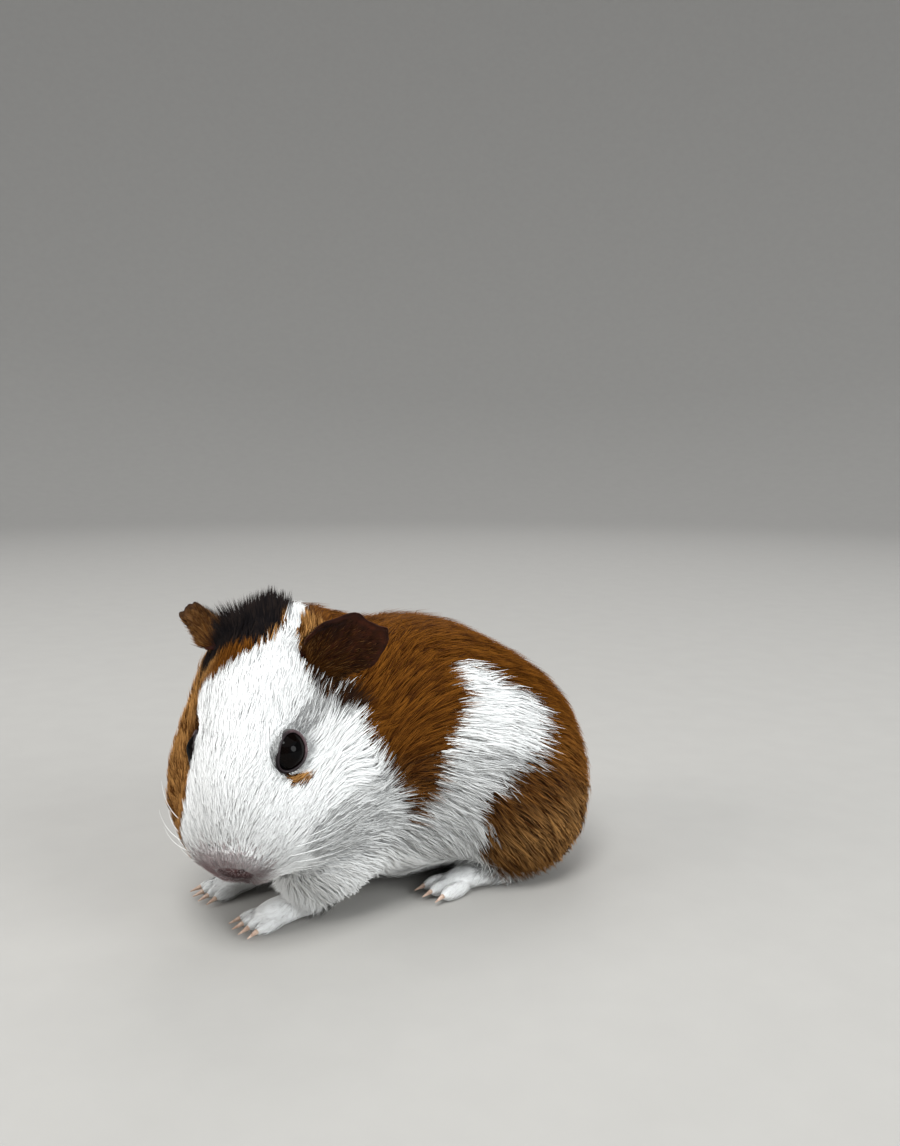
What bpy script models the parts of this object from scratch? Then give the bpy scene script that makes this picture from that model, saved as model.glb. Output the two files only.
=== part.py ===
"""A young guinea pig standing on the floor, as named solids out to the tips of its coat.

Sizes are in millimetres in this script and become metres where a mesh is made. The animal
faces -Y, its left side is +X and the floor is at zero height.
"""
import bpy
import bmesh
import numpy as np
from mathutils import Matrix, Vector

millimetre = 0.001
gap = 0.3                      # clearance between neighbouring pieces
blend = 4.0                    # how softly one swelling of the body runs into the next

# The head turns to the animal's left, drops its nose and leans over, in radians.
headTurn, headDrop, headLean = 0.78, 0.80, 0.05
headAt = np.array([0.3, -25.0, 67.3])

# Swellings of the coat: centre and radii. Those of the trunk are across, back and up.
trunkSwellings = {
    "chest": ((0, -15, 35), (28, 31, 30)),
    "belly": ((0, 15, 39), (36.5, 40, 37.5)),
    "rump": ((0, 40, 32.5), (37.5, 33, 31.5)),
    "thigh": ((24, 41, 20), (16, 21, 20)),
    "shoulder": ((17, -19, 20), (10, 12, 15)),
}
# Those of the head are across, forward and up from the back of the skull.
headSwellings = {
    "skull": ((0, 16.2, 0.6), (14.5, 22.4, 18.8)),
    "bridge": ((0, 34.8, 3.2), (9.9, 16.8, 13.5)),
    "muzzle": ((0, 44.7, -6.7), (15, 12.8, 13.8)),
    "cheek": ((13.6, 24, -11.6), (13, 22.3, 11)),
    "nape": ((0, 0, -12.7), (25, 23.7, 22.2)),
    "crest": ((0.2, -1.5, 8.6), (10.2, 8.2, 9)),
}
pairedSwellings = {"thigh", "shoulder", "cheek"}

trunkCore = (0, 14, 37)        # the point that the trunk's surface is cast from
headCore = (0, 24, -3)
headCut = ((4, -32, 6), (0.40, -0.864, 0.30))       # point and forward direction of each cut
neckCut = ((0, 3, 80), (0.26, -0.92, 0.295))
rumpCut = ((0, 33, 40), (0.0, -1.0, 0.0))

eyeRadius = 5.8
eyeAt = (9.9, 30.6, 6.8)      # beside, in front of and above the back of the skull

# Each kind of leg: what of the body belongs to it, the point inside it that its surface is cast from,
# its lower limb and foot, and its toes.
hindLeg = {
    "region": ((30, 41, 17), (18, 24, 23)), "core": (26, 40, 16), "mesh": (20, 14),
    "limbs": {"foot": ((24, 31, 3.4), (5.4, 17.5, 4.6))},
    "toes": {"count": 3, "spread": 3.6, "at": (24, 14.5, 2.3), "radii": (1.9, 5.0, 2.4), "fan": 0.16},
}
foreLeg = {
    "region": ((22, -18, 13), (11, 12, 15)), "core": (18, -19, 13), "mesh": (14, 10),
    "limbs": {"forearm": ((13.5, -24.5, 9.5), (6.0, 6.6, 9.0)), "paw": ((12.5, -31, 3.0), (4.8, 7.6, 4.0))},
    "toes": {"count": 4, "spread": 2.6, "at": (12.5, -37.5, 1.9), "radii": (1.4, 4.0, 1.9), "fan": 0.14},
}
clawLength, clawRadius = 3.2, 0.75

# Each ear: base, middle of the far edge and top of the far edge, in the head's own directions.
earPlan = {
    "left": {"base": (13.5, 6.5, 13), "tip": (34.5, 6, 16.5), "top": (27.5, 4, 24.5), "width": 17.0},
    "right": {"base": (-14.2, 0, 9), "tip": (-27, -9.5, 12), "top": (-22, -11, 18), "width": 13.0},
}
earThickness = 1.6

coatGinger, coatWhite, coatBrown = (0.27, 0.10, 0.028), (0.80, 0.80, 0.78), (0.075, 0.026, 0.018)
eyeBlack, clawHorn = (0.006, 0.005, 0.006), (0.55, 0.44, 0.36)


def headDirections():
    """Columns: the head's left, back and up directions."""
    forward = np.array([np.sin(headTurn) * np.cos(headDrop),
                        -np.cos(headTurn) * np.cos(headDrop), -np.sin(headDrop)])
    level = np.array([np.cos(headTurn), np.sin(headTurn), 0.0])
    upright = np.cross(level, -forward)
    left = np.cos(headLean) * level + np.sin(headLean) * upright
    up = np.cos(headLean) * upright - np.sin(headLean) * level
    return np.stack([left, -forward, up], axis=1)


headTurned = headDirections()


def onHead(across, forward, up):
    """World place of a point given in the head's own directions."""
    return headAt + headTurned @ np.array([across, -forward, up], float)


def ellipsoidGap(points, centre, turn, radii):
    """Signed distance, nearly, from an ellipsoid."""
    local = (points - centre) @ turn
    reach = np.sqrt(((local / radii) ** 2).sum(axis=-1)) + 1e-9
    slope = np.sqrt(((local / radii ** 2) ** 2).sum(axis=-1)) + 1e-9
    return reach * (reach - 1.0) / slope


def listSwellings():
    """Every swelling of the body with its world centre, turn and radii."""
    found = []
    for plan, turn, place in ((trunkSwellings, np.eye(3), lambda x, y, z: np.array([x, y, z], float)),
                              (headSwellings, headTurned, onHead)):
        for name, (centre, radii) in plan.items():
            sides = (1, -1) if name in pairedSwellings else (1,)
            for side in sides:
                at = place(side * centre[0], centre[1], centre[2])
                found.append((at, turn, np.array(radii, float)))
    return found


bodySwellings = listSwellings()


def bodyGap(points):
    """Signed distance, nearly, from the whole coat: all swellings run softly together."""
    total = 0.0
    for centre, turn, radii in bodySwellings:
        distance = np.clip(ellipsoidGap(points, centre, turn, radii), -60, 200)
        total = total + np.exp(-distance / blend)
    return -blend * np.log(total)


def castFrom(core, directions, gapFunction):
    """Walk out from the core along each direction to the first place outside the form."""
    travel = np.zeros(len(directions))
    for _ in range(90):
        distance = gapFunction(core + directions * travel[:, None])
        travel += np.where(distance < 0, np.maximum(-0.8 * distance, 0.02), -0.5 * distance)
    return core + directions * travel[:, None]


def newObject(name, mesh, collection, colour, roughness=0.9):
    piece = bpy.data.objects.new(name, mesh)
    collection.objects.link(piece)
    finish = bpy.data.materials.new(name + "_finish")
    finish.use_nodes = True
    shader = finish.node_tree.nodes["Principled BSDF"]
    shader.inputs["Base Color"].default_value = (*colour, 1.0)
    shader.inputs["Roughness"].default_value = roughness
    mesh.materials.append(finish)
    return piece


def castForm(name, core, turn, segments, rings, gapFunction, collection, colour):
    """A sphere whose every corner is moved out from the core to the form's surface."""
    shell = bmesh.new()
    bmesh.ops.create_uvsphere(shell, u_segments=segments, v_segments=rings, radius=1.0)
    sphere = np.array([corner.co[:] for corner in shell.verts])
    poleAlongBack = np.array([[1, 0, 0], [0, 0, 1], [0, -1, 0]], float)
    directions = sphere @ poleAlongBack.T @ turn.T
    places = castFrom(np.array(core, float), directions, gapFunction)
    places[:, 2] = np.maximum(places[:, 2], 0.0)      # flat where it meets the floor
    for corner, place in zip(shell.verts, places):
        corner.co = Vector(place * millimetre)
    bmesh.ops.triangulate(shell, faces=shell.faces)
    mesh = bpy.data.meshes.new(name)
    shell.to_mesh(mesh)
    shell.free()
    mesh.shade_smooth()
    return newObject(name, mesh, collection, colour)


def ellipsoid(name, centre, radii, segments, rings, collection, colour, turn=None, flatten=True,
              roughness=0.9):
    """A scaled sphere, level where it would pass through the floor."""
    shell = bmesh.new()
    bmesh.ops.create_uvsphere(shell, u_segments=segments, v_segments=rings, radius=1.0)
    spin = Matrix.Rotation(np.pi / 2, 3, "X")
    turning = Matrix(turn.tolist()) if turn is not None else Matrix.Identity(3)
    for corner in shell.verts:
        aligned = spin @ corner.co
        local = Vector([aligned[i] * radii[i] for i in range(3)])
        place = turning @ local + Vector(centre)
        if flatten:
            place.z = max(place.z, 0.0)
        corner.co = place * millimetre
    bmesh.ops.triangulate(shell, faces=shell.faces)
    mesh = bpy.data.meshes.new(name)
    shell.to_mesh(mesh)
    shell.free()
    mesh.shade_smooth()
    return newObject(name, mesh, collection, colour, roughness)


def halfSpace(name, cut, side, collection, near=gap / 2):
    """A large box on one side of a cut, for cutting with."""
    point, forward = Vector(cut[0]), Vector(cut[1]).normalized() * side
    reach = 300.0
    box = bmesh.new()
    bmesh.ops.create_cube(box, size=1.0)
    facing = forward.to_track_quat("Z", "Y").to_matrix()
    for corner in box.verts:
        local = Vector((corner.co.x * reach, corner.co.y * reach, (corner.co.z + 0.5) * reach + near))
        corner.co = (facing @ local + point) * millimetre
    mesh = bpy.data.meshes.new(name)
    box.to_mesh(mesh)
    box.free()
    return newObject(name, mesh, collection, (0.5, 0.5, 0.5))


def boolean(piece, cutter, operation):
    step = piece.modifiers.new(operation.title() + "_" + cutter.name, "BOOLEAN")
    step.operation = operation
    step.object = cutter
    step.solver = "EXACT"


def clearScene():
    for thing in list(bpy.data.objects):
        bpy.data.objects.remove(thing, do_unlink=True)
    for group in list(bpy.data.collections):
        bpy.data.collections.remove(group)


def newCollection(name):
    group = bpy.data.collections.new(name)
    bpy.context.scene.collection.children.link(group)
    return group


def hideCutters(group):
    for cutter in group.objects:
        cutter.hide_render = True
        cutter.display_type = "WIRE"


def toeFrames(plan, side):
    """Centre and turn of each toe of one foot, fanned about its middle."""
    count = plan["count"]
    for index in range(count):
        step = index - (count - 1) / 2
        lean = side * plan["fan"] * step
        middle, back, up = plan["at"]
        at = Vector((side * middle + step * plan["spread"], back + 0.7 * abs(step), up))
        turn = np.array([[np.cos(lean * side), -np.sin(lean * side), 0],
                         [np.sin(lean * side), np.cos(lean * side), 0], [0, 0, 1]])
        yield index + 1, at, turn


def makeFoot(leg, plan, side, animal, cutters, name):
    """Toes joined to a leg, and a claw of its own in front of each."""
    for number, at, turn in toeFrames(plan, side):
        toe = ellipsoid(f"{name}_toe_{number}", at, plan["radii"], 8, 5, cutters, coatWhite, turn)
        boolean(leg, toe, "UNION")
        forward = Vector((turn @ np.array([0.0, -1.0, 0.0])).tolist())
        claw = bmesh.new()
        bmesh.ops.create_cone(claw, cap_ends=True, segments=6, radius1=clawRadius, radius2=0.12,
                              depth=clawLength)
        facing = (forward + Vector((0, 0, -0.3))).to_track_quat("Z", "Y").to_matrix()
        base = at + forward * (plan["radii"][1] + gap)
        for corner in claw.verts:
            placed = base + facing @ (corner.co + Vector((0, 0, clawLength / 2)))
            corner.co = placed * millimetre
        label = name.replace("leg", "")
        mesh = bpy.data.meshes.new(f"claw_{label}_{number}")
        claw.to_mesh(mesh)
        claw.free()
        mesh.shade_smooth()
        newObject(f"claw_{label}_{number}", mesh, animal, clawHorn, 0.4)


def makeLeg(name, side, plan, animal, cutters, colour):
    """The body's surface within a leg's region, with its lower limb, foot, toes and claws."""
    at = np.array([side * plan["region"][0][0], *plan["region"][0][1:]], float)
    reach = np.array(plan["region"][1], float)

    def legGap(points):
        return np.maximum(bodyGap(points), ellipsoidGap(points, at, np.eye(3), reach))

    core = (side * plan["core"][0], *plan["core"][1:])
    leg = castForm(name, core, np.eye(3), *plan["mesh"], legGap, animal, colour)
    rooms = [ellipsoid(name + "_room", at, reach + 2 * gap, *plan["mesh"], cutters, colour, flatten=False)]
    for limb, (centre, radii) in plan["limbs"].items():
        limbAt = (side * centre[0], centre[1], centre[2])
        boolean(leg, ellipsoid(f"{name}_{limb}", limbAt, radii, 12, 8, cutters, colour), "UNION")
        rooms.append(ellipsoid(f"{name}_{limb}_room", limbAt, np.array(radii) + 2 * gap, 12, 8, cutters,
                               colour, flatten=False))
    makeFoot(leg, plan["toes"], side, animal, cutters, name)
    return rooms


def makeEar(label, animal):
    """A cupped petal: narrow at its root, broad and blunt at its far edge."""
    plan = earPlan[label]
    base, tip, top = (onHead(*plan[key]) for key in ("base", "tip", "top"))
    along = tip - base
    length = np.linalg.norm(along)
    along /= length
    rise = (top - tip) - along * ((top - tip) @ along)
    rise /= np.linalg.norm(rise)
    facing = np.cross(along, rise)
    if facing @ (onHead(0, 1, 0) - onHead(0, 0, 0)) < 0:
        facing = -facing
    acrossSteps, alongSteps = 6, 5
    across, reach = np.meshgrid(np.linspace(-1, 1, acrossSteps + 1), np.linspace(0, 1, alongSteps + 1))
    halfWidth = 0.5 * plan["width"] * (0.55 + 0.45 * np.sin(np.pi * np.clip(reach * 0.75 + 0.08, 0, 1)))
    ends = 1.0 - 0.26 * reach * np.abs(across) ** 2.5
    cup = 2.6 * (1 - across ** 2) * (1 - 0.5 * reach)
    places = (base + (reach * ends * length)[..., None] * along
              + (across * halfWidth)[..., None] * rise - cup[..., None] * facing)
    corners = (places.reshape(-1, 3) * millimetre).tolist()
    row = acrossSteps + 1
    faces = [(j * row + i, j * row + i + 1, (j + 1) * row + i + 1, (j + 1) * row + i)
             for j in range(alongSteps) for i in range(acrossSteps)]
    mesh = bpy.data.meshes.new(f"ear_{label}")
    mesh.from_pydata(corners, [], faces)
    mesh.shade_smooth()
    ear = newObject(f"ear_{label}", mesh, animal, coatBrown)
    thick = ear.modifiers.new("Thickness", "SOLIDIFY")
    thick.thickness = earThickness * millimetre
    thick.offset = 0.0
    return ear


def standOnOrigin(animal, cutters):
    """Slide everything so that the origin is under the middle of the animal's box."""
    bpy.context.view_layer.update()
    graph = bpy.context.evaluated_depsgraph_get()
    lowest, highest = np.full(3, np.inf), np.full(3, -np.inf)
    for piece in animal.objects:
        shape = piece.evaluated_get(graph).to_mesh()
        corners = np.empty(len(shape.vertices) * 3)
        shape.vertices.foreach_get("co", corners)
        lowest = np.minimum(lowest, corners.reshape(-1, 3).min(axis=0))
        highest = np.maximum(highest, corners.reshape(-1, 3).max(axis=0))
    middle = (lowest + highest) / 2
    shift = Vector((-middle[0], -middle[1], -lowest[2]))
    for piece in list(animal.objects) + list(cutters.objects):
        piece.location = shift
    print("box", (highest - lowest).round(4), "shift", shift)


def build():
    clearScene()
    animal = newCollection("guinea_pig")
    cutters = newCollection("cutters")

    coreOfHead = onHead(*headCore)
    head = castForm("head", coreOfHead, headTurned, 28, 18, bodyGap, animal, coatWhite)
    boolean(head, halfSpace("head_front", headCut, 1, cutters), "INTERSECT")
    neck, trunk, rump = (castForm(name, trunkCore, np.eye(3), 28, 18, bodyGap, animal, coatGinger)
                         for name in ("neck", "trunk", "rump"))
    boolean(neck, halfSpace("neck_front", neckCut, 1, cutters), "INTERSECT")
    boolean(neck, halfSpace("head_back", headCut, -1, cutters), "INTERSECT")
    boolean(trunk, halfSpace("neck_back", neckCut, -1, cutters), "INTERSECT")
    boolean(trunk, halfSpace("rump_front", rumpCut, 1, cutters), "INTERSECT")
    boolean(rump, halfSpace("rump_back", rumpCut, -1, cutters), "INTERSECT")

    for label, side in (("left", 1), ("right", -1)):
        for room in makeLeg(f"hindleg_{label}", side, hindLeg, animal, cutters, coatGinger):
            boolean(trunk, room, "DIFFERENCE")
            boolean(rump, room, "DIFFERENCE")
        for room in makeLeg(f"foreleg_{label}", side, foreLeg, animal, cutters, coatWhite):
            for piece in (head, neck, trunk):
                boolean(piece, room, "DIFFERENCE")
        eyeCentre = onHead(side * eyeAt[0], eyeAt[1], eyeAt[2])
        eye = ellipsoid(f"eye_{label}", eyeCentre, (eyeRadius,) * 3, 14, 10, animal, eyeBlack, roughness=0.08)
        socket = ellipsoid(f"socket_{label}", eyeCentre, (eyeRadius + gap,) * 3, 16, 10, cutters, eyeBlack)
        boolean(head, socket, "DIFFERENCE")
        ear = makeEar(label, animal)
        rootRoom = castForm(f"ear_root_{label}", coreOfHead, headTurned, 28, 18,
                            lambda points: bodyGap(points) - gap, cutters, coatWhite)
        boolean(ear, rootRoom, "DIFFERENCE")

    hideCutters(cutters)
    standOnOrigin(animal, cutters)


build()
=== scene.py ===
# A young short-haired guinea pig, ginger, white and black, at life size.
# Lengths in the dictionaries are millimetres. The animal faces -Y and its left side is +X.
import bpy
import bmesh
import numpy as np
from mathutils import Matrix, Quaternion, Vector


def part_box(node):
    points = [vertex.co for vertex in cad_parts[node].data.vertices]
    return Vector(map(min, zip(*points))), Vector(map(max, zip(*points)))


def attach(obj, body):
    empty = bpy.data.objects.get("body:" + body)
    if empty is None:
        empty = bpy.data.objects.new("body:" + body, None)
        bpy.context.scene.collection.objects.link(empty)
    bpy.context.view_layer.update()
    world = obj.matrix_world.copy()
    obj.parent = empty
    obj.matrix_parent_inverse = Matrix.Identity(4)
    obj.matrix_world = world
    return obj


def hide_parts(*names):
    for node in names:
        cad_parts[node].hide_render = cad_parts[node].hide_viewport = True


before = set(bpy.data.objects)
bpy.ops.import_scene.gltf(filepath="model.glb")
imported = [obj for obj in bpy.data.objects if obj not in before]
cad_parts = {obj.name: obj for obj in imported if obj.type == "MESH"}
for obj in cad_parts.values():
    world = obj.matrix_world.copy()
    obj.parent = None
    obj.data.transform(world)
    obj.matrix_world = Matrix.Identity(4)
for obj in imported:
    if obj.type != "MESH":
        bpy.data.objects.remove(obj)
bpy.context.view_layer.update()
millimetre = 0.001
print("frame loaded")

# the animal's form: centre, radii, and the coat there
# coat = depth to the skin, hair length, hair width, tufts per square millimetre, how far the hair stands up
headTurn, headDrop, headLean = 0.78, 0.80, 0.05
headAt = np.array([0.3, -25.0, 67.3])
trunkSwellings = {
    "chest": {"at": (0, -15, 35), "radii": (28, 31, 30), "coat": (4.4, 9.5, 0.215, 7.2, 0.0)},
    "belly": {"at": (0, 15, 39), "radii": (36.5, 40, 37.5), "coat": (4.4, 11.0, 0.215, 7.0, 0.0)},
    "rump": {"at": (0, 40, 32.5), "radii": (37.5, 33, 31.5), "coat": (4.4, 11.5, 0.22, 7.0, 0.0)},
    "thigh": {"at": (24, 41, 20), "radii": (16, 21, 20),
              "coat": (4.0, 12.0, 0.23, 7.2, 0.0), "paired": True},
    "shoulder": {"at": (17, -19, 20), "radii": (10, 12, 15),
                 "coat": (3.2, 8.0, 0.3, 7.5, 0.0), "paired": True},
}
headSwellings = {
    "skull": {"at": (0, 16.2, 0.6), "radii": (14.5, 22.4, 18.8), "coat": (2.2, 6.2, 0.21, 13.5, 0.0)},
    "bridge": {"at": (0, 34.8, 3.2), "radii": (9.9, 16.8, 13.5), "coat": (1.6, 5.0, 0.18, 17.0, 0.0)},
    "muzzle": {"at": (0, 44.7, -6.7), "radii": (15, 12.8, 13.8), "coat": (1.15, 3.3, 0.155, 19.0, 0.0)},
    "cheek": {"at": (13.6, 24, -11.6), "radii": (13, 22.3, 11),
              "coat": (2.5, 7.0, 0.23, 13.0, 0.0), "paired": True},
    "nape": {"at": (0, 0, -12.7), "radii": (25, 23.7, 22.2), "coat": (4.0, 9.0, 0.3, 7.5, 0.0)},
    "crest": {"at": (0.2, -1.5, 8.6), "radii": (10.2, 8.2, 9), "coat": (4.4, 13.5, 0.22, 10.5, 0.9)},
}
# legs below the body, feet and toes
limbCoat = (0.45, 2.2, 0.15, 10.0, 0.0)
limbSwellings = {
    "forearm": {"at": (13.5, -24.5, 9.5), "radii": (5.4, 6.0, 8.6)},
    "paw": {"at": (12.5, -31.0, 3.4), "radii": (4.3, 7.0, 3.3)},
    "foot": {"at": (24.0, 31.0, 3.8), "radii": (4.9, 16.9, 3.7)},
}
toePlans = {
    "fore": {"count": 4, "spread": 2.6, "at": (12.5, -37.9, 1.9), "radii": (1.25, 4.2, 1.75), "fan": 0.14},
    "hind": {"count": 3, "spread": 3.6, "at": (24.0, 14.1, 2.3), "radii": (1.7, 5.3, 2.2), "fan": 0.16},
}
eyePlan = {"at": (9.9, 30.6, 6.8), "radius": 5.8, "axis": (0.84, 0.22, 0.50), "along": (-0.18, 0.97, -0.12),
           "open": 43.0, "rear": 10.0, "front": 18.0, "lid": 0.35, "lidReach": 9.5}
# how the swellings, legs, lids and grooves run into each other, and the limbs' own coat fades in
joinPlan = {"body": 4.0, "limbs": 0.7, "limbSink": 0.3, "limbFade": 1.2, "legs": 2.0, "lids": 1.5,
            "grooves": 0.5}


# Vectors over their lengths.
def unit(vectors):
    vectors = np.asarray(vectors, float)
    return vectors / (np.linalg.norm(vectors, axis=-1, keepdims=True) + 1e-12)


# Smooth step: 0 below low, 1 above high, 3t^2 - 2t^3 between.
def ramp(values, low, high):
    t = np.clip((values - low) / (high - low), 0, 1)
    return t * t * (3 - 2 * t)


# Columns are the head's left, back and up directions, from its turn, drop and lean.
def headDirections():
    forward = np.array([np.sin(headTurn) * np.cos(headDrop),
                        -np.cos(headTurn) * np.cos(headDrop), -np.sin(headDrop)])
    level = np.array([np.cos(headTurn), np.sin(headTurn), 0.0])
    upright = np.cross(level, -forward)
    left = np.cos(headLean) * level + np.sin(headLean) * upright
    up = np.cos(headLean) * upright - np.sin(headLean) * level
    return np.stack([left, -forward, up], axis=1)


headTurned = headDirections()
flip = np.array([1.0, -1.0, 1.0])


# Body place of points given across, forward and up on the head.
def onHead(places):
    return headAt + (np.asarray(places, float) * flip) @ headTurned.T


# Body direction of vectors given across, forward and up on the head.
def alongHead(directions):
    return (np.asarray(directions, float) * flip) @ headTurned.T


# Across, forward and up on the head of points of the body.
def toHead(points):
    return ((points - headAt) @ headTurned) * flip


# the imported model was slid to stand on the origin: its left eye says how far
eyeLow, eyeHigh = (np.array(corner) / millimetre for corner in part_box("eye_left"))
standShift = (eyeLow + eyeHigh) / 2 - onHead(eyePlan["at"])
print("slid by", standShift.round(2))


# Place of a plan on one or both sides, across turned round for the right.
def sidesOf(plan):
    sides = (1, -1) if plan.get("paired") else (1,)
    return [np.array(plan["at"], float) * (side, 1, 1) for side in sides]


# World centre, turn, radii and coat of every swelling of the trunk and head.
def listSwellings():
    return [(place(at), turn, np.array(plan["radii"], float), plan["coat"])
            for plans, turn, place in ((trunkSwellings, np.eye(3), np.array),
                                       (headSwellings, headTurned, onHead))
            for plan in plans.values() for at in sidesOf(plan)]


# World centre, turn and radii of the legs, feet and toes of both sides.
def listLimbs():
    found = []
    for side in (1, -1):
        for plan in limbSwellings.values():
            at = np.array(plan["at"], float) * (side, 1, 1)
            found.append((at, np.eye(3), np.array(plan["radii"], float)))
        for plan in toePlans.values():
            for index in range(plan["count"]):
                step = index - (plan["count"] - 1) / 2
                lean = plan["fan"] * step
                middle, back, up = plan["at"]
                at = np.array([side * middle + step * plan["spread"], back + 0.7 * abs(step), up])
                turn = np.array([[np.cos(lean), -np.sin(lean), 0],
                                 [np.sin(lean), np.cos(lean), 0], [0, 0, 1]])
                found.append((at, turn, np.array(plan["radii"], float)))
    return found


faceSwellings = {
    "pad": {"at": (0, 55.6, -4.0), "radii": (6.0, 2.4, 4.6)},
    "upperLip": {"at": (3.4, 53.0, -11.0), "radii": (4.2, 3.4, 4.4), "paired": True},
    "chin": {"at": (0, 46.5, -16.0), "radii": (6.5, 6.5, 4.8)},
}


# World centre, turn and radii of the nose pad, lips and chin.
def listFace():
    return [(onHead(at), headTurned, np.array(plan["radii"], float))
            for plan in faceSwellings.values() for at in sidesOf(plan)]


bodyParts = listSwellings()
limbParts = listLimbs() + listFace()
coatTable = np.array([part[3] for part in bodyParts])


# Distance, nearly, outside an ellipsoid: k0 (k0 - 1) / k1.
def ellipsoidGap(points, centre, turn, radii):
    local = (points - centre) @ turn
    reach = np.sqrt(((local / radii) ** 2).sum(axis=-1)) + 1e-9
    slope = np.sqrt(((local / radii ** 2) ** 2).sum(axis=-1)) + 1e-9
    return reach * (reach - 1.0) / slope


# Distance outside a rounded rod.
def capsuleGap(points, start, end, radius):
    start, end = np.asarray(start, float), np.asarray(end, float)
    along = end - start
    share = np.clip(((points - start) @ along) / (along @ along), 0, 1)
    return np.linalg.norm(points - start - share[..., None] * along, axis=-1) - radius


# The smaller of two distances, rounded where they meet.
def softMin(first, second, k):
    mix = np.clip(0.5 + 0.5 * (second - first) / k, 0, 1)
    return second + (first - second) * mix - k * mix * (1 - mix)


# Distance outside the coat, and the coat's depth, length, width, density and stand, all blended:
# exp(-distance / join) of every swelling summed, its logarithm times -join.
def bodyField(points):
    join = joinPlan["body"]
    weights = np.stack([np.exp(-np.clip(ellipsoidGap(points, at, turn, radii), -60, 160) / join)
                        for at, turn, radii, coat in bodyParts], axis=-1)
    total = weights.sum(axis=-1)
    outer = -join * np.log(total + 1e-30)
    coat = (weights / (total[..., None] + 1e-30)) @ coatTable
    join = joinPlan["limbs"]
    gaps = [np.clip(ellipsoidGap(points, *part) + joinPlan["limbSink"], -20, 60) for part in limbParts]
    limbs = -join * np.log(sum(np.exp(-gap / join) for gap in gaps) + 1e-30)
    skin = outer + coat[..., 0]
    limbShare = 1 / (1 + np.exp(np.clip((limbs - skin) / joinPlan["limbFade"], -30, 30)))
    coat = coat + (np.array(limbCoat) - coat) * limbShare[..., None]
    return softMin(skin, limbs, joinPlan["legs"]), coat


# Axis, long and short directions of an eye, at right angles to each other.
def eyeDirections(side):
    axis = alongHead(unit(eyePlan["axis"]) * (side, 1, 1))
    long = alongHead(np.array(eyePlan["along"]) * (side, 1, 1))
    long = unit(long - axis * (long @ axis))
    return axis, long, np.cross(axis, long)


# the right eye is half shut: deeper by its sink and its opening narrower
eyeSides = (1, -1)
eyeTurns = {side: eyeDirections(side) for side in eyeSides}
eyeSink = {1: 0.0, -1: 1.2}
eyeShut = {1: 0.0, -1: 7.0}
eyeCentres = {side: onHead(np.array(eyePlan["at"]) * (side, 1, 1)) - eyeSink[side] * eyeTurns[side][0]
              for side in eyeSides}


# Opening edge, in degrees from the eye's axis, at turns about it.
def lidEdge(turn, side):
    return (eyePlan["open"] - eyeShut[side] + eyePlan["rear"] * np.clip(-np.cos(turn), 0, 1) ** 2
            + eyePlan["front"] * np.clip(np.cos(turn), 0, 1) ** 4)


# Distance from the eye's centre, angle from its axis, and edge angle of the lids' opening, in degrees.
# The opening is open + rear or front times a power of the cosine about the axis.
def eyeAngles(points, side):
    reach = points - eyeCentres[side]
    distance = np.linalg.norm(reach, axis=-1)
    axis, long, short = eyeTurns[side]
    fromAxis = np.degrees(np.arccos(np.clip((reach @ axis) / (distance + 1e-9), -1, 1)))
    turn = np.arctan2(reach @ short, reach @ long)
    return distance, fromAxis, lidEdge(turn, side)


# Distance outside the lids: radius - 1 inside the opening, radius + lid beyond its edge, sinking
# again behind it.
def lidGap(distance, fromAxis, edge):
    height = (1.0 + eyePlan["lid"]) * ramp(fromAxis, edge - 3, edge + 5) - 1.0
    return distance - eyePlan["radius"] - height + 1.2 * ramp(fromAxis, 56, 92)


# How far the nearest eye's opening edge is, in millimetres along its lids.
def fromEyes(points):
    nearest = np.full(len(points), 99.0)
    for side in eyeSides:
        distance, fromAxis, edge = eyeAngles(points, side)
        along = np.radians(fromAxis - edge) * eyePlan["radius"]
        nearest = np.minimum(nearest, along + np.clip(distance - 7, 0, 99))
    return nearest


nosePlan = {
    "nostril": {"from": (2.1, 58.6, -3.6), "to": (4.6, 56.6, -1.0), "radius": 0.75},
    "philtrum": {"from": (0, 58.6, -6.5), "to": (0, 55.0, -13.5), "radius": 0.45},
    "lip": {"from": (0, 55.6, -13.2), "to": (6.5, 49.5, -17.0), "radius": 0.45},
}


# The left half's points: across turned positive.
def mirrored(places):
    return np.stack([np.abs(places[..., 0]), places[..., 1], places[..., 2]], axis=-1)


# Distance outside the skin with lids, nostrils and lips, and the coat there.
def skinField(points):
    skin, coat = bodyField(points)
    onLeft = mirrored(toHead(points))
    for name in ("nostril", "philtrum", "lip"):
        plan = nosePlan[name]
        groove = capsuleGap(onLeft, plan["from"], plan["to"], plan["radius"])
        skin = -softMin(-skin, groove, joinPlan["grooves"])
    for side in eyeSides:
        distance, fromAxis, edge = eyeAngles(points, side)
        lid = lidGap(distance, fromAxis, edge)
        skin = np.where(distance < eyePlan["lidReach"], softMin(skin, lid, joinPlan["lids"]), skin)
    return skin, coat


# Field values and their unit gradient, by differences to either side.
def slopeOf(field, points, step=0.05):
    slope = np.stack([field(points + np.eye(3)[axis] * step)[0] - field(points - np.eye(3)[axis] * step)[0]
                      for axis in range(3)], axis=-1) / (2 * step)
    length = np.linalg.norm(slope, axis=-1, keepdims=True)
    return slope / (length + 1e-9), np.clip(length[..., 0], 0.3, 3.0)


# Newton steps along the gradient to where the field has the given level.
def settle(field, points, level, rounds):
    for _ in range(rounds):
        normal, length = slopeOf(field, points)
        value = field(points)[0] - level
        points = points - normal * np.clip(value / length, -1.5, 1.5)[..., None]
    return points


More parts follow.
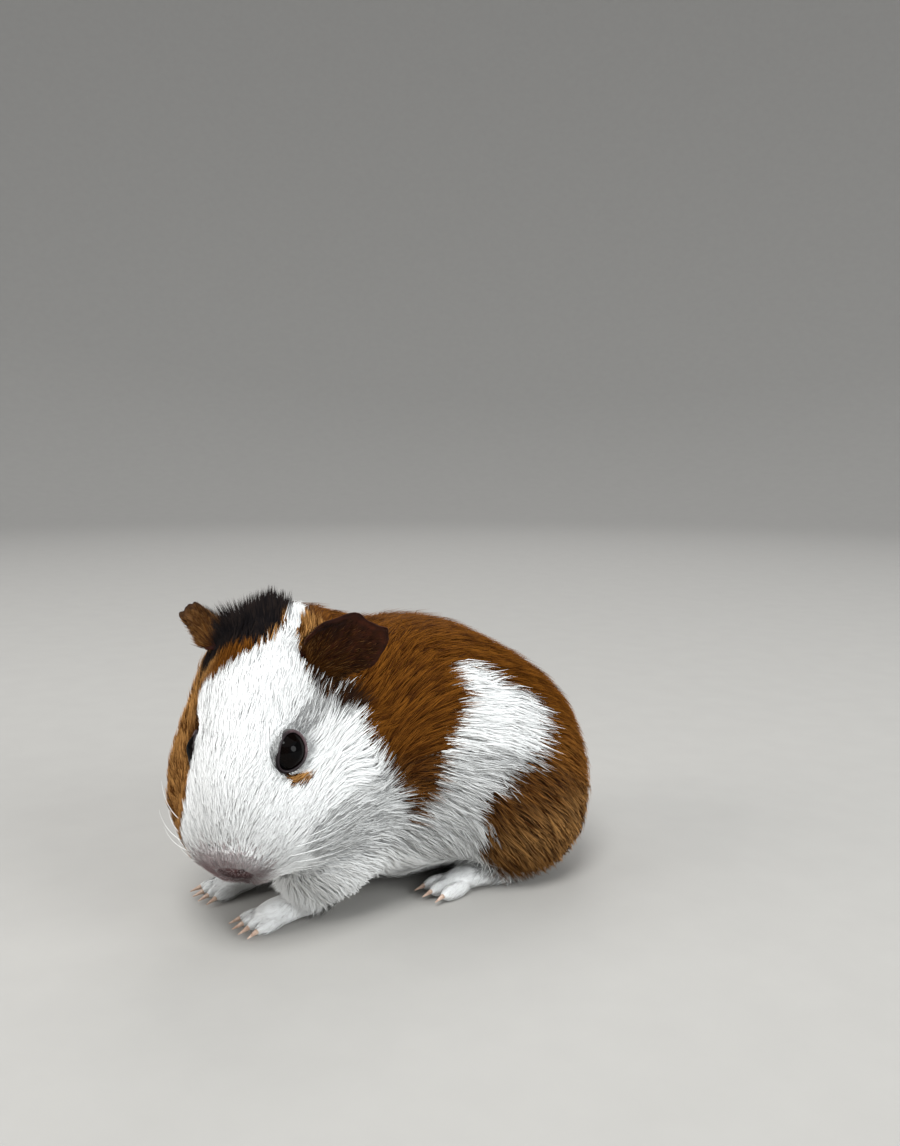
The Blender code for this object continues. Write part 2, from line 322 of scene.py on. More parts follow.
# Markings: outlines on the head are (forward, degrees round from its top to its left), on the trunk (back,
# degrees round).
whiteFace = [(50, -160), (53, -122), (53, -96), (49.5, -81), (45.5, -58), (39, -48), (33, -49),
    (26, -50), (20, -57), (16.5, -61), (14.2, -49), (16.4, -25), (14.6, -14), (12.6, -6), (9.4, 4),
    (5, 10), (1, 16), (-6, 20), (-15, 22), (-24, 24), (-24, 58), (-18, 54), (-10, 35), (-2.5, 28),
    (1, 28), (3.5, 31), (7, 41), (10.5, 47), (13, 60), (13.5, 76), (12.5, 87), (15.5, 91), (19, 95),
    (22.5, 100), (26, 109), (29, 116), (28, 140), (20, 165), (20, 185), (30, 200), (90, 200),
    (90, -160)]
whiteTrunk = [(16.5, 41), (23, 42), (31, 48), (37, 54), (43, 62), (43, 70), (41, 80), (37, 87),
    (28, 90), (25, 96), (18.5, 100), (17.5, 107), (21, 117), (21, 127), (29, 141), (50, 156),
    (70, 172), (70, 200), (-70, 200), (-70, -5), (-14, -5), (-15, 20), (-16, 45), (-14.4, 55),
    (-13.2, 64), (-11.7, 72), (-9.6, 79), (-6.8, 85), (-4.8, 90), (-3.2, 96), (-2.8, 102),
    (-0.8, 107.5), (0.8, 104), (3, 96), (5, 88), (7, 81), (9, 74), (11, 69), (15, 61), (19, 55),
    (16.3, 48)]
whiteTrunkRight = [(26, 30), (34, 40), (38, 54), (34, 66), (30, 78), (26, 90), (22, 103), (26, 116),
    (34, 134), (58, 146), (70, 170), (70, 200), (-70, 200), (-70, 118), (-30, 114), (-8, 112),
    (4, 110), (10, 96), (14, 80), (17, 64), (21, 48)]
blackCrest = [(7, -72), (7.6, -48), (7.2, -26), (6.4, -8), (6, 6), (3, 12), (-1, 17), (-6, 21),
    (-14, 27), (-20, 8), (-17, -30), (-9, -58), (0, -74)]
# patches: a path in the same measures, its half width in millimetres, and the black and ginger there
headPatches = {
    "earRoot": {"path": [(6, 50), (9.5, 58), (10.5, 68), (11, 80)],
                "width": 2.9, "black": 0.8, "ginger": 1.0},
    "earFront": {"path": [(12.5, 56), (14.5, 74)], "width": 2.0, "black": 0.66, "ginger": 0.0},
    "smudge": {"path": [(26, 48), (21, 55), (16.5, 62), (12, 74)],
               "width": 2.6, "black": 0.58, "ginger": 0.0},
    "smudgeLow": {"path": [(17, 72), (13, 84)], "width": 1.5, "black": 0.46, "ginger": 0.0},
    "eyeSpot": {"path": [(37.6, 57), (36.8, 64), (35.2, 71)],
                "width": 1.05, "black": 0.0, "ginger": 1.0, "pale": 1.0},
    # partly painted shade under the cheek, partly grey hair and skin showing through there
    "underCheek": {"path": [(44, 112), (34, 118), (24, 124), (12, 130)],
                   "width": 5.5, "black": 0.45, "ginger": 0.0},
    "canthus": {"path": [(31, 36), (34.5, 36), (37, 39), (37.9, 43), (37.9, 50)],
                "width": 1.4, "black": 0.64, "ginger": 0.0},
    "rightEarRoot": {"path": [(3, -34), (5, -48), (3, -62), (-4, -66)],
                     "width": 4.6, "black": 0.95, "ginger": 1.0},
    "rightSmudge": {"path": [(24, -52), (17, -60), (9, -70)], "width": 1.5, "black": 0.35, "ginger": 1.0},
}


# Distance to a path in the plane, the second measure scaled.
def pathGap(across, down, path, scale):
    points = np.stack([across, down * scale], axis=-1)
    corners = np.array(path, float) * (1, scale)
    return np.min([capsuleGap(points, start, end, 0)
                   for start, end in zip(corners[:-1], corners[1:])], axis=0)


# Signed distance to a closed outline in the plane, less than 0 inside; the second measure is scaled.
def outlineGap(across, down, outline, scale):
    corners = np.array(outline, float) * (1, scale)
    down = down * scale
    best = np.full(across.shape, 1e9)
    inside = np.zeros(across.shape, bool)
    for start, end in zip(corners, np.roll(corners, -1, axis=0)):
        ex, ey = end - start
        share = ((across - start[0]) * ex + (down - start[1]) * ey) / (ex * ex + ey * ey + 1e-9)
        share = np.clip(share, 0, 1)
        best = np.minimum(best, np.hypot(across - start[0] - share * ex, down - start[1] - share * ey))
        crosses = ((start[1] > down) != (end[1] > down))
        at = start[0] + (down - start[1]) * ex / (ey + 1e-9 * (ey == 0))
        inside ^= crosses & (across < at)
    return np.where(inside, -best, best)


noiseSeed = np.random.default_rng(11)
waves = noiseSeed.normal(size=(3, 14, 3))
phases = noiseSeed.uniform(0, 6.28, size=(3, 14))


# Smooth noise from -1 to 1 of about the given size: a sum of plane waves.
def drift(points, size, channel):
    return np.sin(points @ waves[channel].T / size * 2.6 + phases[channel]).sum(axis=-1) / 14 * 2.4


# scales turn degrees round into millimetres, wobbles roughen the borders; soft is how far each border mixes
markPlan = {"headScale": 0.34, "patchScale": 0.3, "trunkScale": 0.62, "wobbles": ((0.8, 4.0), (0.5, 1.6)),
            "soft": 0.5, "haunchSoft": 3.2, "haunch": (15, 26),
            "thigh": ((0, 44.0, 18.0), (48.0, 30.0, 15.0)), "thighPale": 0.95, "flankPale": 0.25,
            # the cheek's paleness is painted light: the right cheek lighter, as light falls on that side
            "cheekPale": 0.85, "napePale": 0.95, "napeAt": (9, -2, 14)}


# Distance outside a plain ellipsoid, turned with the axes.
def levelGap(points, at, radii):
    return ellipsoidGap(points, np.array(at, float), np.eye(3), np.array(radii, float))


# Ginger and black shares, from 0 to 1, paleness of the ginger with painted light on the right cheek, and
# distance from the nearest border.
def markings(points):
    local = toHead(points)
    forward = local[..., 1]
    around = np.degrees(np.arctan2(local[..., 0], local[..., 2] + 3))
    around = np.mod(around + 160, 360) - 160
    wobble = sum(height * drift(points, size, channel)
                 for channel, (height, size) in enumerate(markPlan["wobbles"]))
    face = outlineGap(forward, around, whiteFace, markPlan["headScale"]) + wobble
    face = np.where((forward > 53.5) & (around > -125), -4.0, face)
    crest = outlineGap(forward, around, blackCrest, markPlan["headScale"]) + 0.6 * wobble
    trunkAround = np.degrees(np.arctan2(np.abs(points[..., 0]), points[..., 2] - 37))
    left, right = (outlineGap(points[..., 1], trunkAround, outline, markPlan["trunkScale"])
                   for outline in (whiteTrunk, whiteTrunkRight))
    trunk = np.where(points[..., 0] > 0, left, right) + 1.2 * wobble
    trunkCount = sum(len(sidesOf(plan)) for plan in trunkSwellings.values())
    gaps = [ellipsoidGap(points, *part[:3]) for part in bodyParts]
    nearHead = np.min(gaps[trunkCount:], axis=0) < np.min(gaps[:trunkCount], axis=0)
    white = np.where(nearHead, face, trunk)
    feet = 3.0 + 5.5 * ramp(-points[..., 1], -34, -22) - points[..., 2] + 1.2 * wobble
    white = np.minimum(white, -feet)
    haunch = ramp(points[..., 1], *markPlan["haunch"]) * (white == trunk)
    ginger = ramp(white / (markPlan["soft"] + markPlan["haunchSoft"] * haunch), -1, 1)
    black = 1 - ramp(crest, -0.6, 0.6)
    pale = (markPlan["thighPale"] * ramp(-levelGap(points, *markPlan["thigh"]), -5, 5)
            + markPlan["flankPale"] * ramp(np.abs(trunkAround), 60, 115))
    # painted light: the right cheek made paler, as light falls on that side
    pale = np.maximum(pale, markPlan["cheekPale"] * ramp(-local[..., 0], 7, 14) * nearHead)
    fromNape = np.linalg.norm(local - markPlan["napeAt"], axis=-1)
    pale = np.maximum(pale, markPlan["napePale"] * (1 - ramp(fromNape, 7, 14)))
    for plan in headPatches.values():
        gap = pathGap(forward, around, plan["path"], markPlan["patchScale"]) + 0.4 * wobble
        share = (1 - ramp(gap, plan["width"] - 0.5, plan["width"] + 0.9)) * (forward > 0)
        black = np.maximum(black, plan["black"] * share)
        ginger = ginger + (plan["ginger"] - ginger) * share * (plan["ginger"] > 0)
        pale = np.maximum(pale, plan.get("pale", 0) * share)
    return ginger, black, pale, white


# Adds an object that holds the given data, at the origin.
def addObject(name, data):
    made = bpy.data.objects.new(name, data)
    bpy.context.scene.collection.objects.link(made)
    return made


# Mesh object from points in metres and arrays of corner numbers, with values at its corners.
def addMesh(name, points, faceSets, material, values):
    mesh = bpy.data.meshes.new(name)
    mesh.vertices.add(len(points))
    mesh.vertices.foreach_set("co", points.astype(np.float32).ravel())
    corners = np.concatenate([faces.ravel() for faces in faceSets])
    counts = np.concatenate([np.full(len(faces), faces.shape[1]) for faces in faceSets])
    mesh.loops.add(len(corners))
    mesh.loops.foreach_set("vertex_index", corners.astype(np.int32))
    mesh.polygons.add(len(counts))
    mesh.polygons.foreach_set("loop_start", (np.cumsum(counts) - counts).astype(np.int32))
    mesh.polygons.foreach_set("use_smooth", np.ones(len(counts), bool))
    mesh.update(calc_edges=True)
    for key, numbers in values.items():
        layer = mesh.attributes.new(key, "FLOAT", "POINT")
        layer.data.foreach_set("value", np.asarray(numbers, np.float32))
    mesh.materials.append(material)
    return addObject(name, mesh)


# A piece of the animal from points in millimetres of the body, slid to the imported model's place.
def makePiece(name, points, faceSets, values, material):
    piece = addMesh(name, (points + standShift) * millimetre, faceSets, material, values)
    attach(piece, "root")
    return piece


# Quads of a grid of rows by columns, closed round the columns when asked.
def gridFaces(rows, columns, closed=False):
    across = np.arange(columns if closed else columns - 1)
    down = np.arange(rows - 1)[:, None]
    beside = (across + 1) % columns
    return np.stack([down * columns + across, down * columns + beside,
                     (down + 1) * columns + beside, (down + 1) * columns + across], axis=-1).reshape(-1, 4)


# Triangles from a ring of corners, the first of them at start, to one point.
def fanFaces(start, around, tip, turned=False):
    ring = start + np.arange(around)
    beside = start + (np.arange(around) + 1) % around
    first, second = (beside, ring) if turned else (ring, beside)
    return np.stack([first, second, np.full(around, tip)], axis=-1)


# Rings swept along paths: path points, side and rise vectors and radii give
# place = path + radius (cos t side + sin t rise), with both ends closed to a point.
def sweptTubes(paths, sides, rises, radii, around):
    many, steps = paths.shape[:2]
    turn = (np.arange(around) / around * 2 * np.pi)[:, None]
    ring = np.cos(turn) * sides[:, :, None, :] + np.sin(turn) * rises[:, :, None, :]
    places = paths[:, :, None, :] + radii[:, :, None, None] * ring
    places = np.concatenate([places.reshape(many, -1, 3), paths[:, :1], paths[:, -1:]], axis=1)
    each = steps * around + 2
    one = [gridFaces(steps, around, True), fanFaces(0, around, each - 2, True),
           fanFaces((steps - 1) * around, around, each - 1)]
    return places.reshape(-1, 3), repeatFaces(one, many, each)


# Face sets again for every copy of a shape, each copy so many corners on from the last.
def repeatFaces(faceSets, many, each):
    offsets = (np.arange(many) * each)[:, None, None]
    return [(faces + offsets).reshape(-1, faces.shape[1]) for faces in faceSets]


# Finishes: one colour after another along a value, from rows of (value, colour).
def addRamp(tree, source, stops):
    node = tree.nodes.new("ShaderNodeValToRGB")
    elements = node.color_ramp.elements
    while len(elements) < len(stops):
        elements.new(0.5)
    for element, (position, colour) in zip(elements, stops):
        element.position = position
        element.color = (*colour, 1)
    tree.links.new(source, node.inputs["Fac"])
    return node.outputs["Color"]


# Sets a socket to a number or colour, or joins a link to it.
def feed(tree, socket, value):
    if isinstance(value, tuple):
        socket.default_value = (*value, 1)
    elif isinstance(value, (int, float)):
        socket.default_value = value
    else:
        tree.links.new(value, socket)


def addMath(tree, kind, first, second, clamp=False):
    node = tree.nodes.new("ShaderNodeMath")
    node.operation = kind
    node.use_clamp = clamp
    feed(tree, node.inputs[0], first)
    feed(tree, node.inputs[1], second)
    return node.outputs[0]


# Mix of two colours by a share.
def addMix(tree, share, first, second):
    node = tree.nodes.new("ShaderNodeMix")
    node.data_type = "RGBA"
    for name, value in (("Factor", share), ("A", first), ("B", second)):
        feed(tree, node.inputs[name], value)
    return node.outputs["Result"]


# Noise on the piece's own place, at a scale in features a metre.
def addNoise(tree, scale, detail=3.0, roughness=0.55):
    place = tree.nodes.new("ShaderNodeTexCoord")
    node = tree.nodes.new("ShaderNodeTexNoise")
    for name, value in (("Scale", scale), ("Detail", detail), ("Roughness", roughness)):
        node.inputs[name].default_value = value
    tree.links.new(place.outputs["Object"], node.inputs["Vector"])
    return node.outputs["Fac"]


# the root colours are darker partly as the hair's own colour and partly as painted shade deep in the coat
coatColours = {
    "gingerRoot": (0.020, 0.0055, 0.0008), "gingerMid": (0.064, 0.019, 0.0016),
    "gingerTip": (0.20, 0.072, 0.0085), "paleTip": (0.56, 0.285, 0.092), "white": (0.90, 0.91, 0.905),
    "whiteRoot": (0.72, 0.71, 0.71), "whiteShade": (0.76, 0.76, 0.76), "black": (0.0055, 0.0045, 0.0050),
    "blackTip": (0.020, 0.014, 0.012), "bare": (0.23, 0.115, 0.115), "bareDark": (0.050, 0.020, 0.022),
    # the last colour on the next line is painted shade on the skin under the hair
    "rosy": (0.27, 0.185, 0.19), "underHair": (0.10, 0.07, 0.06),
}
coatNumbers = ("ginger", "black", "pale", "rosy", "tone", "along")
coatTones = {"reach": 0.55, "shadeBelow": 0.42, "shade": 1.1, "rough": 0.50, "roughByTone": 0.2}


# Coat colour: white to ginger by the ginger share, then to black by the black share, each with its
# own colours from root to tip, darker at the root partly as painted shade deep in the coat, and
# lighter or darker by the tuft's tone.
def coatGroup():
    tree = bpy.data.node_groups.new("coatColour", "ShaderNodeTree")
    for name in coatNumbers:
        tree.interface.new_socket(name, in_out="INPUT", socket_type="NodeSocketFloat")
    tree.interface.new_socket("Colour", in_out="OUTPUT", socket_type="NodeSocketColor")
    tree.interface.new_socket("Roughness", in_out="OUTPUT", socket_type="NodeSocketFloat")
    inside = tree.nodes.new("NodeGroupInput")
    outside = tree.nodes.new("NodeGroupOutput")
    ginger, black, pale, rosy, tone, along = (inside.outputs[name] for name in coatNumbers)
    # height: the place along the hair, moved by the tone; low heights take the darker root colours, painted
    # shade between the locks
    toned = addMath(tree, "MULTIPLY", addMath(tree, "SUBTRACT", tone, 0.5), coatTones["reach"])
    height = addMath(tree, "ADD", along, toned, True)
    hairs = {}
    for name, stops in {"ginger": ((0.0, "gingerRoot"), (0.45, "gingerMid"), (1.0, "gingerTip")),
                        "pale": ((0.0, "gingerRoot"), (0.4, "gingerMid"), (1.0, "paleTip")),
                        "white": ((0.0, "whiteRoot"), (0.35, "white"), (1.0, "white")),
                        "black": ((0.0, "black"), (0.6, "black"), (1.0, "blackTip"))}.items():
        hairs[name] = addRamp(tree, height, [(at, coatColours[key]) for at, key in stops])
    shade = addMath(tree, "MULTIPLY", addMath(tree, "SUBTRACT", coatTones["shadeBelow"], tone, True),
                    coatTones["shade"])
    colour = addMix(tree, shade, hairs["white"], coatColours["whiteShade"])
    colour = addMix(tree, ginger, colour, addMix(tree, pale, hairs["ginger"], hairs["pale"]))
    colour = addMix(tree, black, colour, hairs["black"])
    colour = addMix(tree, rosy, colour, coatColours["rosy"])
    tree.links.new(colour, outside.inputs["Colour"])
    rough = addMath(tree, "ADD", coatTones["rough"],
                    addMath(tree, "MULTIPLY", tone, coatTones["roughByTone"]))
    tree.links.new(rough, outside.inputs["Roughness"])
    return tree


coatMix = coatGroup()


def newMaterial(name, roughness, specular):
    material = bpy.data.materials.new(name)
    material.use_nodes = True
    shader = material.node_tree.nodes["Principled BSDF"]
    shader.inputs["Roughness"].default_value = roughness
    shader.inputs["Specular IOR Level"].default_value = specular
    return material, material.node_tree, shader


# Joins a colour to a shader, and a bump of so much strength and depth in metres from a height.
def joinSurface(tree, shader, colour, height=None, strength=0.0, depth=0.0):
    tree.links.new(colour, shader.inputs["Base Color"])
    if height is not None:
        bump = tree.nodes.new("ShaderNodeBump")
        bump.inputs["Strength"].default_value = strength
        bump.inputs["Distance"].default_value = depth
        tree.links.new(height, bump.inputs["Height"])
        tree.links.new(bump.outputs["Normal"], shader.inputs["Normal"])


def addAttribute(tree, name):
    node = tree.nodes.new("ShaderNodeAttribute")
    node.attribute_name = name
    return node.outputs["Fac"]


def joinCoatGroup(tree):
    group = tree.nodes.new("ShaderNodeGroup")
    group.node_tree = coatMix
    for name in coatNumbers:
        tree.links.new(addAttribute(tree, name), group.inputs[name])
    return group


def furMaterial():
    material, tree, shader = newMaterial("guineaPigFur", 0.6, 0.03)
    group = joinCoatGroup(tree)
    joinSurface(tree, shader, group.outputs["Colour"])
    tree.links.new(group.outputs["Roughness"], shader.inputs["Roughness"])
    return material


# Skin: the coat's own markings darkened by painted shade under the hair, bare pink where nothing grows, and
# fine fur bump.
def skinMaterial():
    material, tree, shader = newMaterial("guineaPigSkin", 0.6, 0.15)
    group = joinCoatGroup(tree)
    strands = addNoise(tree, 1500, 4.0, 0.65)
    # painted shade: the coat colour darkened in fine strands where the hair covers the skin
    coat = addMix(tree, addMath(tree, "MULTIPLY", strands, 0.25), group.outputs["Colour"],
                  coatColours["underHair"])
    bare = addRamp(tree, addNoise(tree, 260), [(0.3, coatColours["bareDark"]), (0.72, coatColours["bare"])])
    bare = addMix(tree, addAttribute(tree, "dark"), bare, coatColours["bareDark"])
    joinSurface(tree, shader, addMix(tree, addAttribute(tree, "bare"), coat, bare), strands, 0.6, 0.0003)
    return material


eyeColours = {"pupil": (0.0016, 0.0014, 0.0016), "iris": (0.0012, 0.0008, 0.0008),
              "irisFibre": (0.0040, 0.0021, 0.0016), "wet": 0.15, "lid": (0.07, 0.045, 0.05),
              "lidLight": (0.17, 0.105, 0.115), "lidDark": (0.016, 0.010, 0.012)}


# Eye: pupil black, a very dark brown iris round it, under a clear wet coat.
def eyeMaterial():
    material, tree, shader = newMaterial("guineaPigEye", 0.3, 0.0)
    iris = addRamp(tree, addNoise(tree, 2600), [(0.3, eyeColours["iris"]), (0.75, eyeColours["irisFibre"])])
    inIris = addRamp(tree, addAttribute(tree, "fromPupil"),
                     [(0.30, (0, 0, 0)), (0.38, (1, 1, 1)), (0.72, (1, 1, 1)), (0.82, (0.1, 0.1, 0.1))])
    joinSurface(tree, shader, addMix(tree, inIris, eyeColours["pupil"], iris))
    shader.inputs["Coat Weight"].default_value = eyeColours["wet"]
    shader.inputs["Coat Roughness"].default_value = 0.03
    return material


# Lid: dark mottled pink, nearly black where the dark value is 1.
def lidMaterial():
    material, tree, shader = newMaterial("lidRim", 0.4, 0.25)
    mottle = addNoise(tree, 900)
    pink = addRamp(tree, mottle, [(0.35, eyeColours["lid"]), (0.7, eyeColours["lidLight"])])
    joinSurface(tree, shader, addMix(tree, addAttribute(tree, "dark"), pink, eyeColours["lidDark"]),
                mottle, 0.4, 0.0002)
    return material


earColours = {"skin": ((0.3, (0.020, 0.0040, 0.0020)), (0.5, (0.042, 0.0080, 0.0038)),
                       (0.75, (0.085, 0.018, 0.0080))),
              # the furrow colour is painted shade in the skin's creases
              "furrow": (0.010, 0.0035, 0.0025), "warm": (0.18, 0.085, 0.032),
              "dark": (0.012, 0.007, 0.007)}


# Ear: thin warm brown skin with fine furrows from root to rim, darkened in their creases as painted shade,
# pinker where light comes through.
def earMaterial():
    material, tree, shader = newMaterial("earSkin", 0.55, 0.06)
    mottle = addNoise(tree, 420, 4.0)
    furrow = addAttribute(tree, "furrow")
    colour = addRamp(tree, mottle, earColours["skin"])
    # the furrows painted darker: painted shade in the creases, with the bump
    colour = addMix(tree, addMath(tree, "MULTIPLY", furrow, 0.55), colour, earColours["furrow"])
    for name in ("warm", "dark"):
        colour = addMix(tree, addAttribute(tree, name), colour, earColours[name])
    height = addMath(tree, "SUBTRACT", mottle, addMath(tree, "MULTIPLY", furrow, 0.8))
    joinSurface(tree, shader, colour, height, 0.5, 0.00035)
    shader.inputs["Subsurface Weight"].default_value = 0.12
    shader.inputs["Subsurface Radius"].default_value = (0.0012, 0.0005, 0.0003)
    return material


clawColours = ((0.3, (0.36, 0.22, 0.16)), (0.7, (0.62, 0.47, 0.37)))


# Claw: pale horn, a little darker and pinker in streaks.
def clawMaterial():
    material, tree, shader = newMaterial("clawHorn", 0.32, 0.5)
    streaks = addNoise(tree, 1300)
    joinSurface(tree, shader, addRamp(tree, streaks, clawColours), streaks, 0.3, 0.0001)
    return material


finishes = {"fur": furMaterial(), "skin": skinMaterial(), "eye": eyeMaterial(), "lid": lidMaterial(),
            "ear": earMaterial(), "claw": clawMaterial()}


skinPlan = {"voxel": 0.85, "fine": (("eye", 10.5, 2), ("nose", 12.0, 1), ("toes", 9.0, 1))}


# Unit ball: rings of places by polar angle and turn, closed by a fan of triangles at each pole.
def ballGrid(rings, around):
    polar = np.linspace(0, np.pi, rings + 1)[1:-1, None]
    turn = np.arange(around) / around * 2 * np.pi
    places = np.stack([np.sin(polar) * np.cos(turn), np.sin(polar) * np.sin(turn),
                       np.cos(polar) + 0 * turn], axis=-1).reshape(-1, 3)
    count = len(places)
    return (np.concatenate([places, [[0, 0, 1], [0, 0, -1]]]),
            [gridFaces(rings - 1, around, True)[:, ::-1], fanFaces(0, around, count),
             fanFaces((rings - 2) * around, around, count + 1, True)])


def cornersOf(mesh):
    points = np.empty(len(mesh.vertices) * 3)
    mesh.vertices.foreach_get("co", points)
    return points.reshape(-1, 3)


# The skin's surface: balls of every swelling, run together by a voxel remesh, then each corner moved
# along the field's slope until it lies where the field is nothing.
def makeSkin():
    ball, faceSets = ballGrid(18, 26)
    allParts = [(at, turn, radii - coat[0]) for at, turn, radii, coat in bodyParts]
    allParts += [(at, turn, radii - 0.1) for at, turn, radii in limbParts]
    places = np.concatenate([at + (ball * radii) @ turn.T for at, turn, radii in allParts])
    faceSets = repeatFaces(faceSets, len(allParts), len(ball))
    mesh = bpy.data.meshes.new("skinStart")
    mesh.from_pydata((places * millimetre).tolist(), [],
                     [face for some in faceSets for face in some.tolist()])
    start = addObject("skinStart", mesh)
    remesh = start.modifiers.new("remesh", "REMESH")
    remesh.mode = "VOXEL"
    remesh.voxel_size = skinPlan["voxel"] * millimetre
    whole = bpy.data.meshes.new_from_object(start.evaluated_get(bpy.context.evaluated_depsgraph_get()))
    bpy.data.objects.remove(start)
    whole.vertices.foreach_set("co", settleSkin(cornersOf(whole) / millimetre, 7).ravel())
    cage = bmesh.new()
    cage.from_mesh(whole)
    centres = {"eye": list(eyeCentres.values()), "nose": [onHead((0, 54, -6))],
               "toes": [(side * plan["at"][0], plan["at"][1], 2) for side in eyeSides
                        for plan in toePlans.values()]}
    for place, reach, rounds in skinPlan["fine"]:
        for step in range(rounds):
            within = reach - 1.5 * step
            edges = [edge for edge in cage.edges
                     if any((edge.verts[0].co - Vector(centre)).length < within
                            for centre in centres[place])]
            bmesh.ops.subdivide_edges(cage, edges=edges, cuts=1, use_grid_fill=True)
    bmesh.ops.triangulate(cage, faces=[face for face in cage.faces if len(face.verts) > 4])
    cage.to_mesh(whole)
    cage.free()
    return settleSkin(cornersOf(whole), 4, True), whole


# Moves points along the field's slope to its surface, and not below the floor.
def settleSkin(points, rounds, withFace=False):
    for _ in range(rounds):
        value, normal = surface(points)[:2]
        points = points - normal * np.clip(value, -1.5, 1.5)[:, None]
    if withFace:
        near = np.linalg.norm(points - onHead((0, 52, -8)), axis=-1) < 16
        points[near] = settle(skinField, points[near], 0.0, 5)
    points[:, 2] = np.maximum(points[:, 2], 0.0)
    return points


# Field value, slope and coat, with the slope as the blended slopes of the swellings and lids.
def surface(points):
    value, coat = bodyField(points)
    normal = bodySlope(points)
    for side in eyeSides:
        distance, fromAxis, edge = eyeAngles(points, side)
        lid = np.where(distance < eyePlan["lidReach"], lidGap(distance, fromAxis, edge), 9.0)
        share = np.clip(0.5 + 0.5 * (value - lid) / joinPlan["lids"], 0, 1)
        outward = unit(points - eyeCentres[side])
        normal = unit(normal + (outward - normal) * share[:, None])
        value = softMin(value, lid, joinPlan["lids"])
    return value, normal, coat


# Slope of the body: each swelling's own, weighted by exp(-distance / join).
def bodySlope(points):
    total = np.zeros_like(points)
    sets = [(at, turn, radii, joinPlan["body"], coat[0]) for at, turn, radii, coat in bodyParts]
    sets += [(at, turn, radii, joinPlan["limbs"], joinPlan["limbSink"]) for at, turn, radii in limbParts]
    lowest = np.full(len(points), 1e9)
    found = []
    for at, turn, radii, join, depth in sets:
        local = (points - at) @ turn / radii
        reach = np.sqrt((local ** 2).sum(axis=-1)) + 1e-9
        steep = (local / radii) @ turn.T
        length = np.linalg.norm(steep, axis=-1) + 1e-9
        gap = reach * (reach - 1) / length + depth
        found.append((gap, steep / length[:, None], join))
        lowest = np.minimum(lowest, gap)
    for gap, steep, join in found:
        total += steep * np.exp(-np.clip((gap - lowest) / join, 0, 60))[:, None]
    return unit(total)


skinPoints, skinMesh = makeSkin()
print("skin", len(skinPoints), "corners")

nosePadPlan = {"at": (0, 57.8, -6.2), "radii": (4.6, 3.4, 4.6),
               "mouth": ((0, 56.0, -12.0), (4.5, 52.0, -15.4))}


# Bare skin: on the nose pad and lips, the lid edges and the soles.
def bareSkin(points):
    place = toHead(points)
    padGap = levelGap(place, nosePadPlan["at"], nosePadPlan["radii"])
    nose = np.maximum(1 - ramp(padGap, -0.4, 0.7), 0.55 * (1 - ramp(padGap, 0.5, 5.5)))
    mouth = 1 - ramp(capsuleGap(np.abs(place) * (1, 1, -1), *nosePadPlan["mouth"], 0.5), 0.1, 0.9)
    bare = np.maximum(nose, mouth * 0.8)
    rim = np.zeros(len(points))
    for side in eyeSides:
        distance, fromAxis, edge = eyeAngles(points, side)
        rim = np.maximum(rim, (1 - ramp(fromAxis, edge + 1, edge + 6)) * (distance < 7.5))
    sole = 1 - ramp(points[:, 2], 0.25, 0.9)
    return np.maximum(np.maximum(bare, rim), sole), nose, rim


# Values at the skin's corners: markings, black at the lids, painted shade in the nostrils, and dark under
# the nose.
def skinValuesAt(points):
    place = toHead(points)
    ginger, black, pale, _ = markings(points)
    bare, _, rim = bareSkin(points)
    black = np.maximum(black, 0.94 * (1 - ramp(fromEyes(points), 0.9, 2.4)))
    nostril = nosePlan["nostril"]
    # painted shade in the nostril openings
    nostrilShade = 1 - ramp(capsuleGap(mirrored(place), nostril["from"], nostril["to"], 0.5), 0.2, 1.0)
    return {"ginger": ginger, "black": black, "pale": pale, "bare": bare, "rosy": 0 * bare,
            "tone": 0.5 + 0.25 * drift(points, 1.5, 2), "along": np.full(len(points), 0.30),
            "dark": np.clip(nostrilShade + 0.75 * rim + 0.85 * ramp(-place[:, 2], 1.5, 6), 0, 1)}


skinFaces = [np.array([face.vertices[:] for face in skinMesh.polygons if len(face.vertices) == size])
             for size in (3, 4)]
skinFaces = [faces for faces in skinFaces if len(faces)]
skin = makePiece("guineaPigSkin", skinPoints, skinFaces, skinValuesAt(skinPoints), finishes["skin"])
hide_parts("head", "neck", "trunk", "rump", "foreleg_left", "foreleg_right", "hindleg_left",
            "hindleg_right")
bpy.data.meshes.remove(skinMesh)
print("skin finished")

eyeShape = {"ball": 5.62, "cornea": 0.42, "corneaAngle": 42.0, "rim": 0.42, "rimOut": 0.22, "rimBack": 1.5}


# Eyeball: distance = ball + cornea (1 - (angle / cornea angle)^2)^2 about its axis.
def makeEye(side, label):
    ball, faceSets = ballGrid(56, 96)
    axis, long, short = eyeTurns[side]
    angles = np.degrees(np.arccos(np.clip(ball[:, 2], -1, 1)))
    bulge = np.clip(1 - (angles / eyeShape["corneaAngle"]) ** 2, 0, 1) ** 2
    reach = eyeShape["ball"] + eyeShape["cornea"] * bulge
    places = eyeCentres[side] + (ball @ np.stack([long, short, axis])) * reach[:, None]
    eye = makePiece("eyeball" + label, places, faceSets, {"fromPupil": angles / 60}, finishes["eye"])
    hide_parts("eye_" + label.lower())


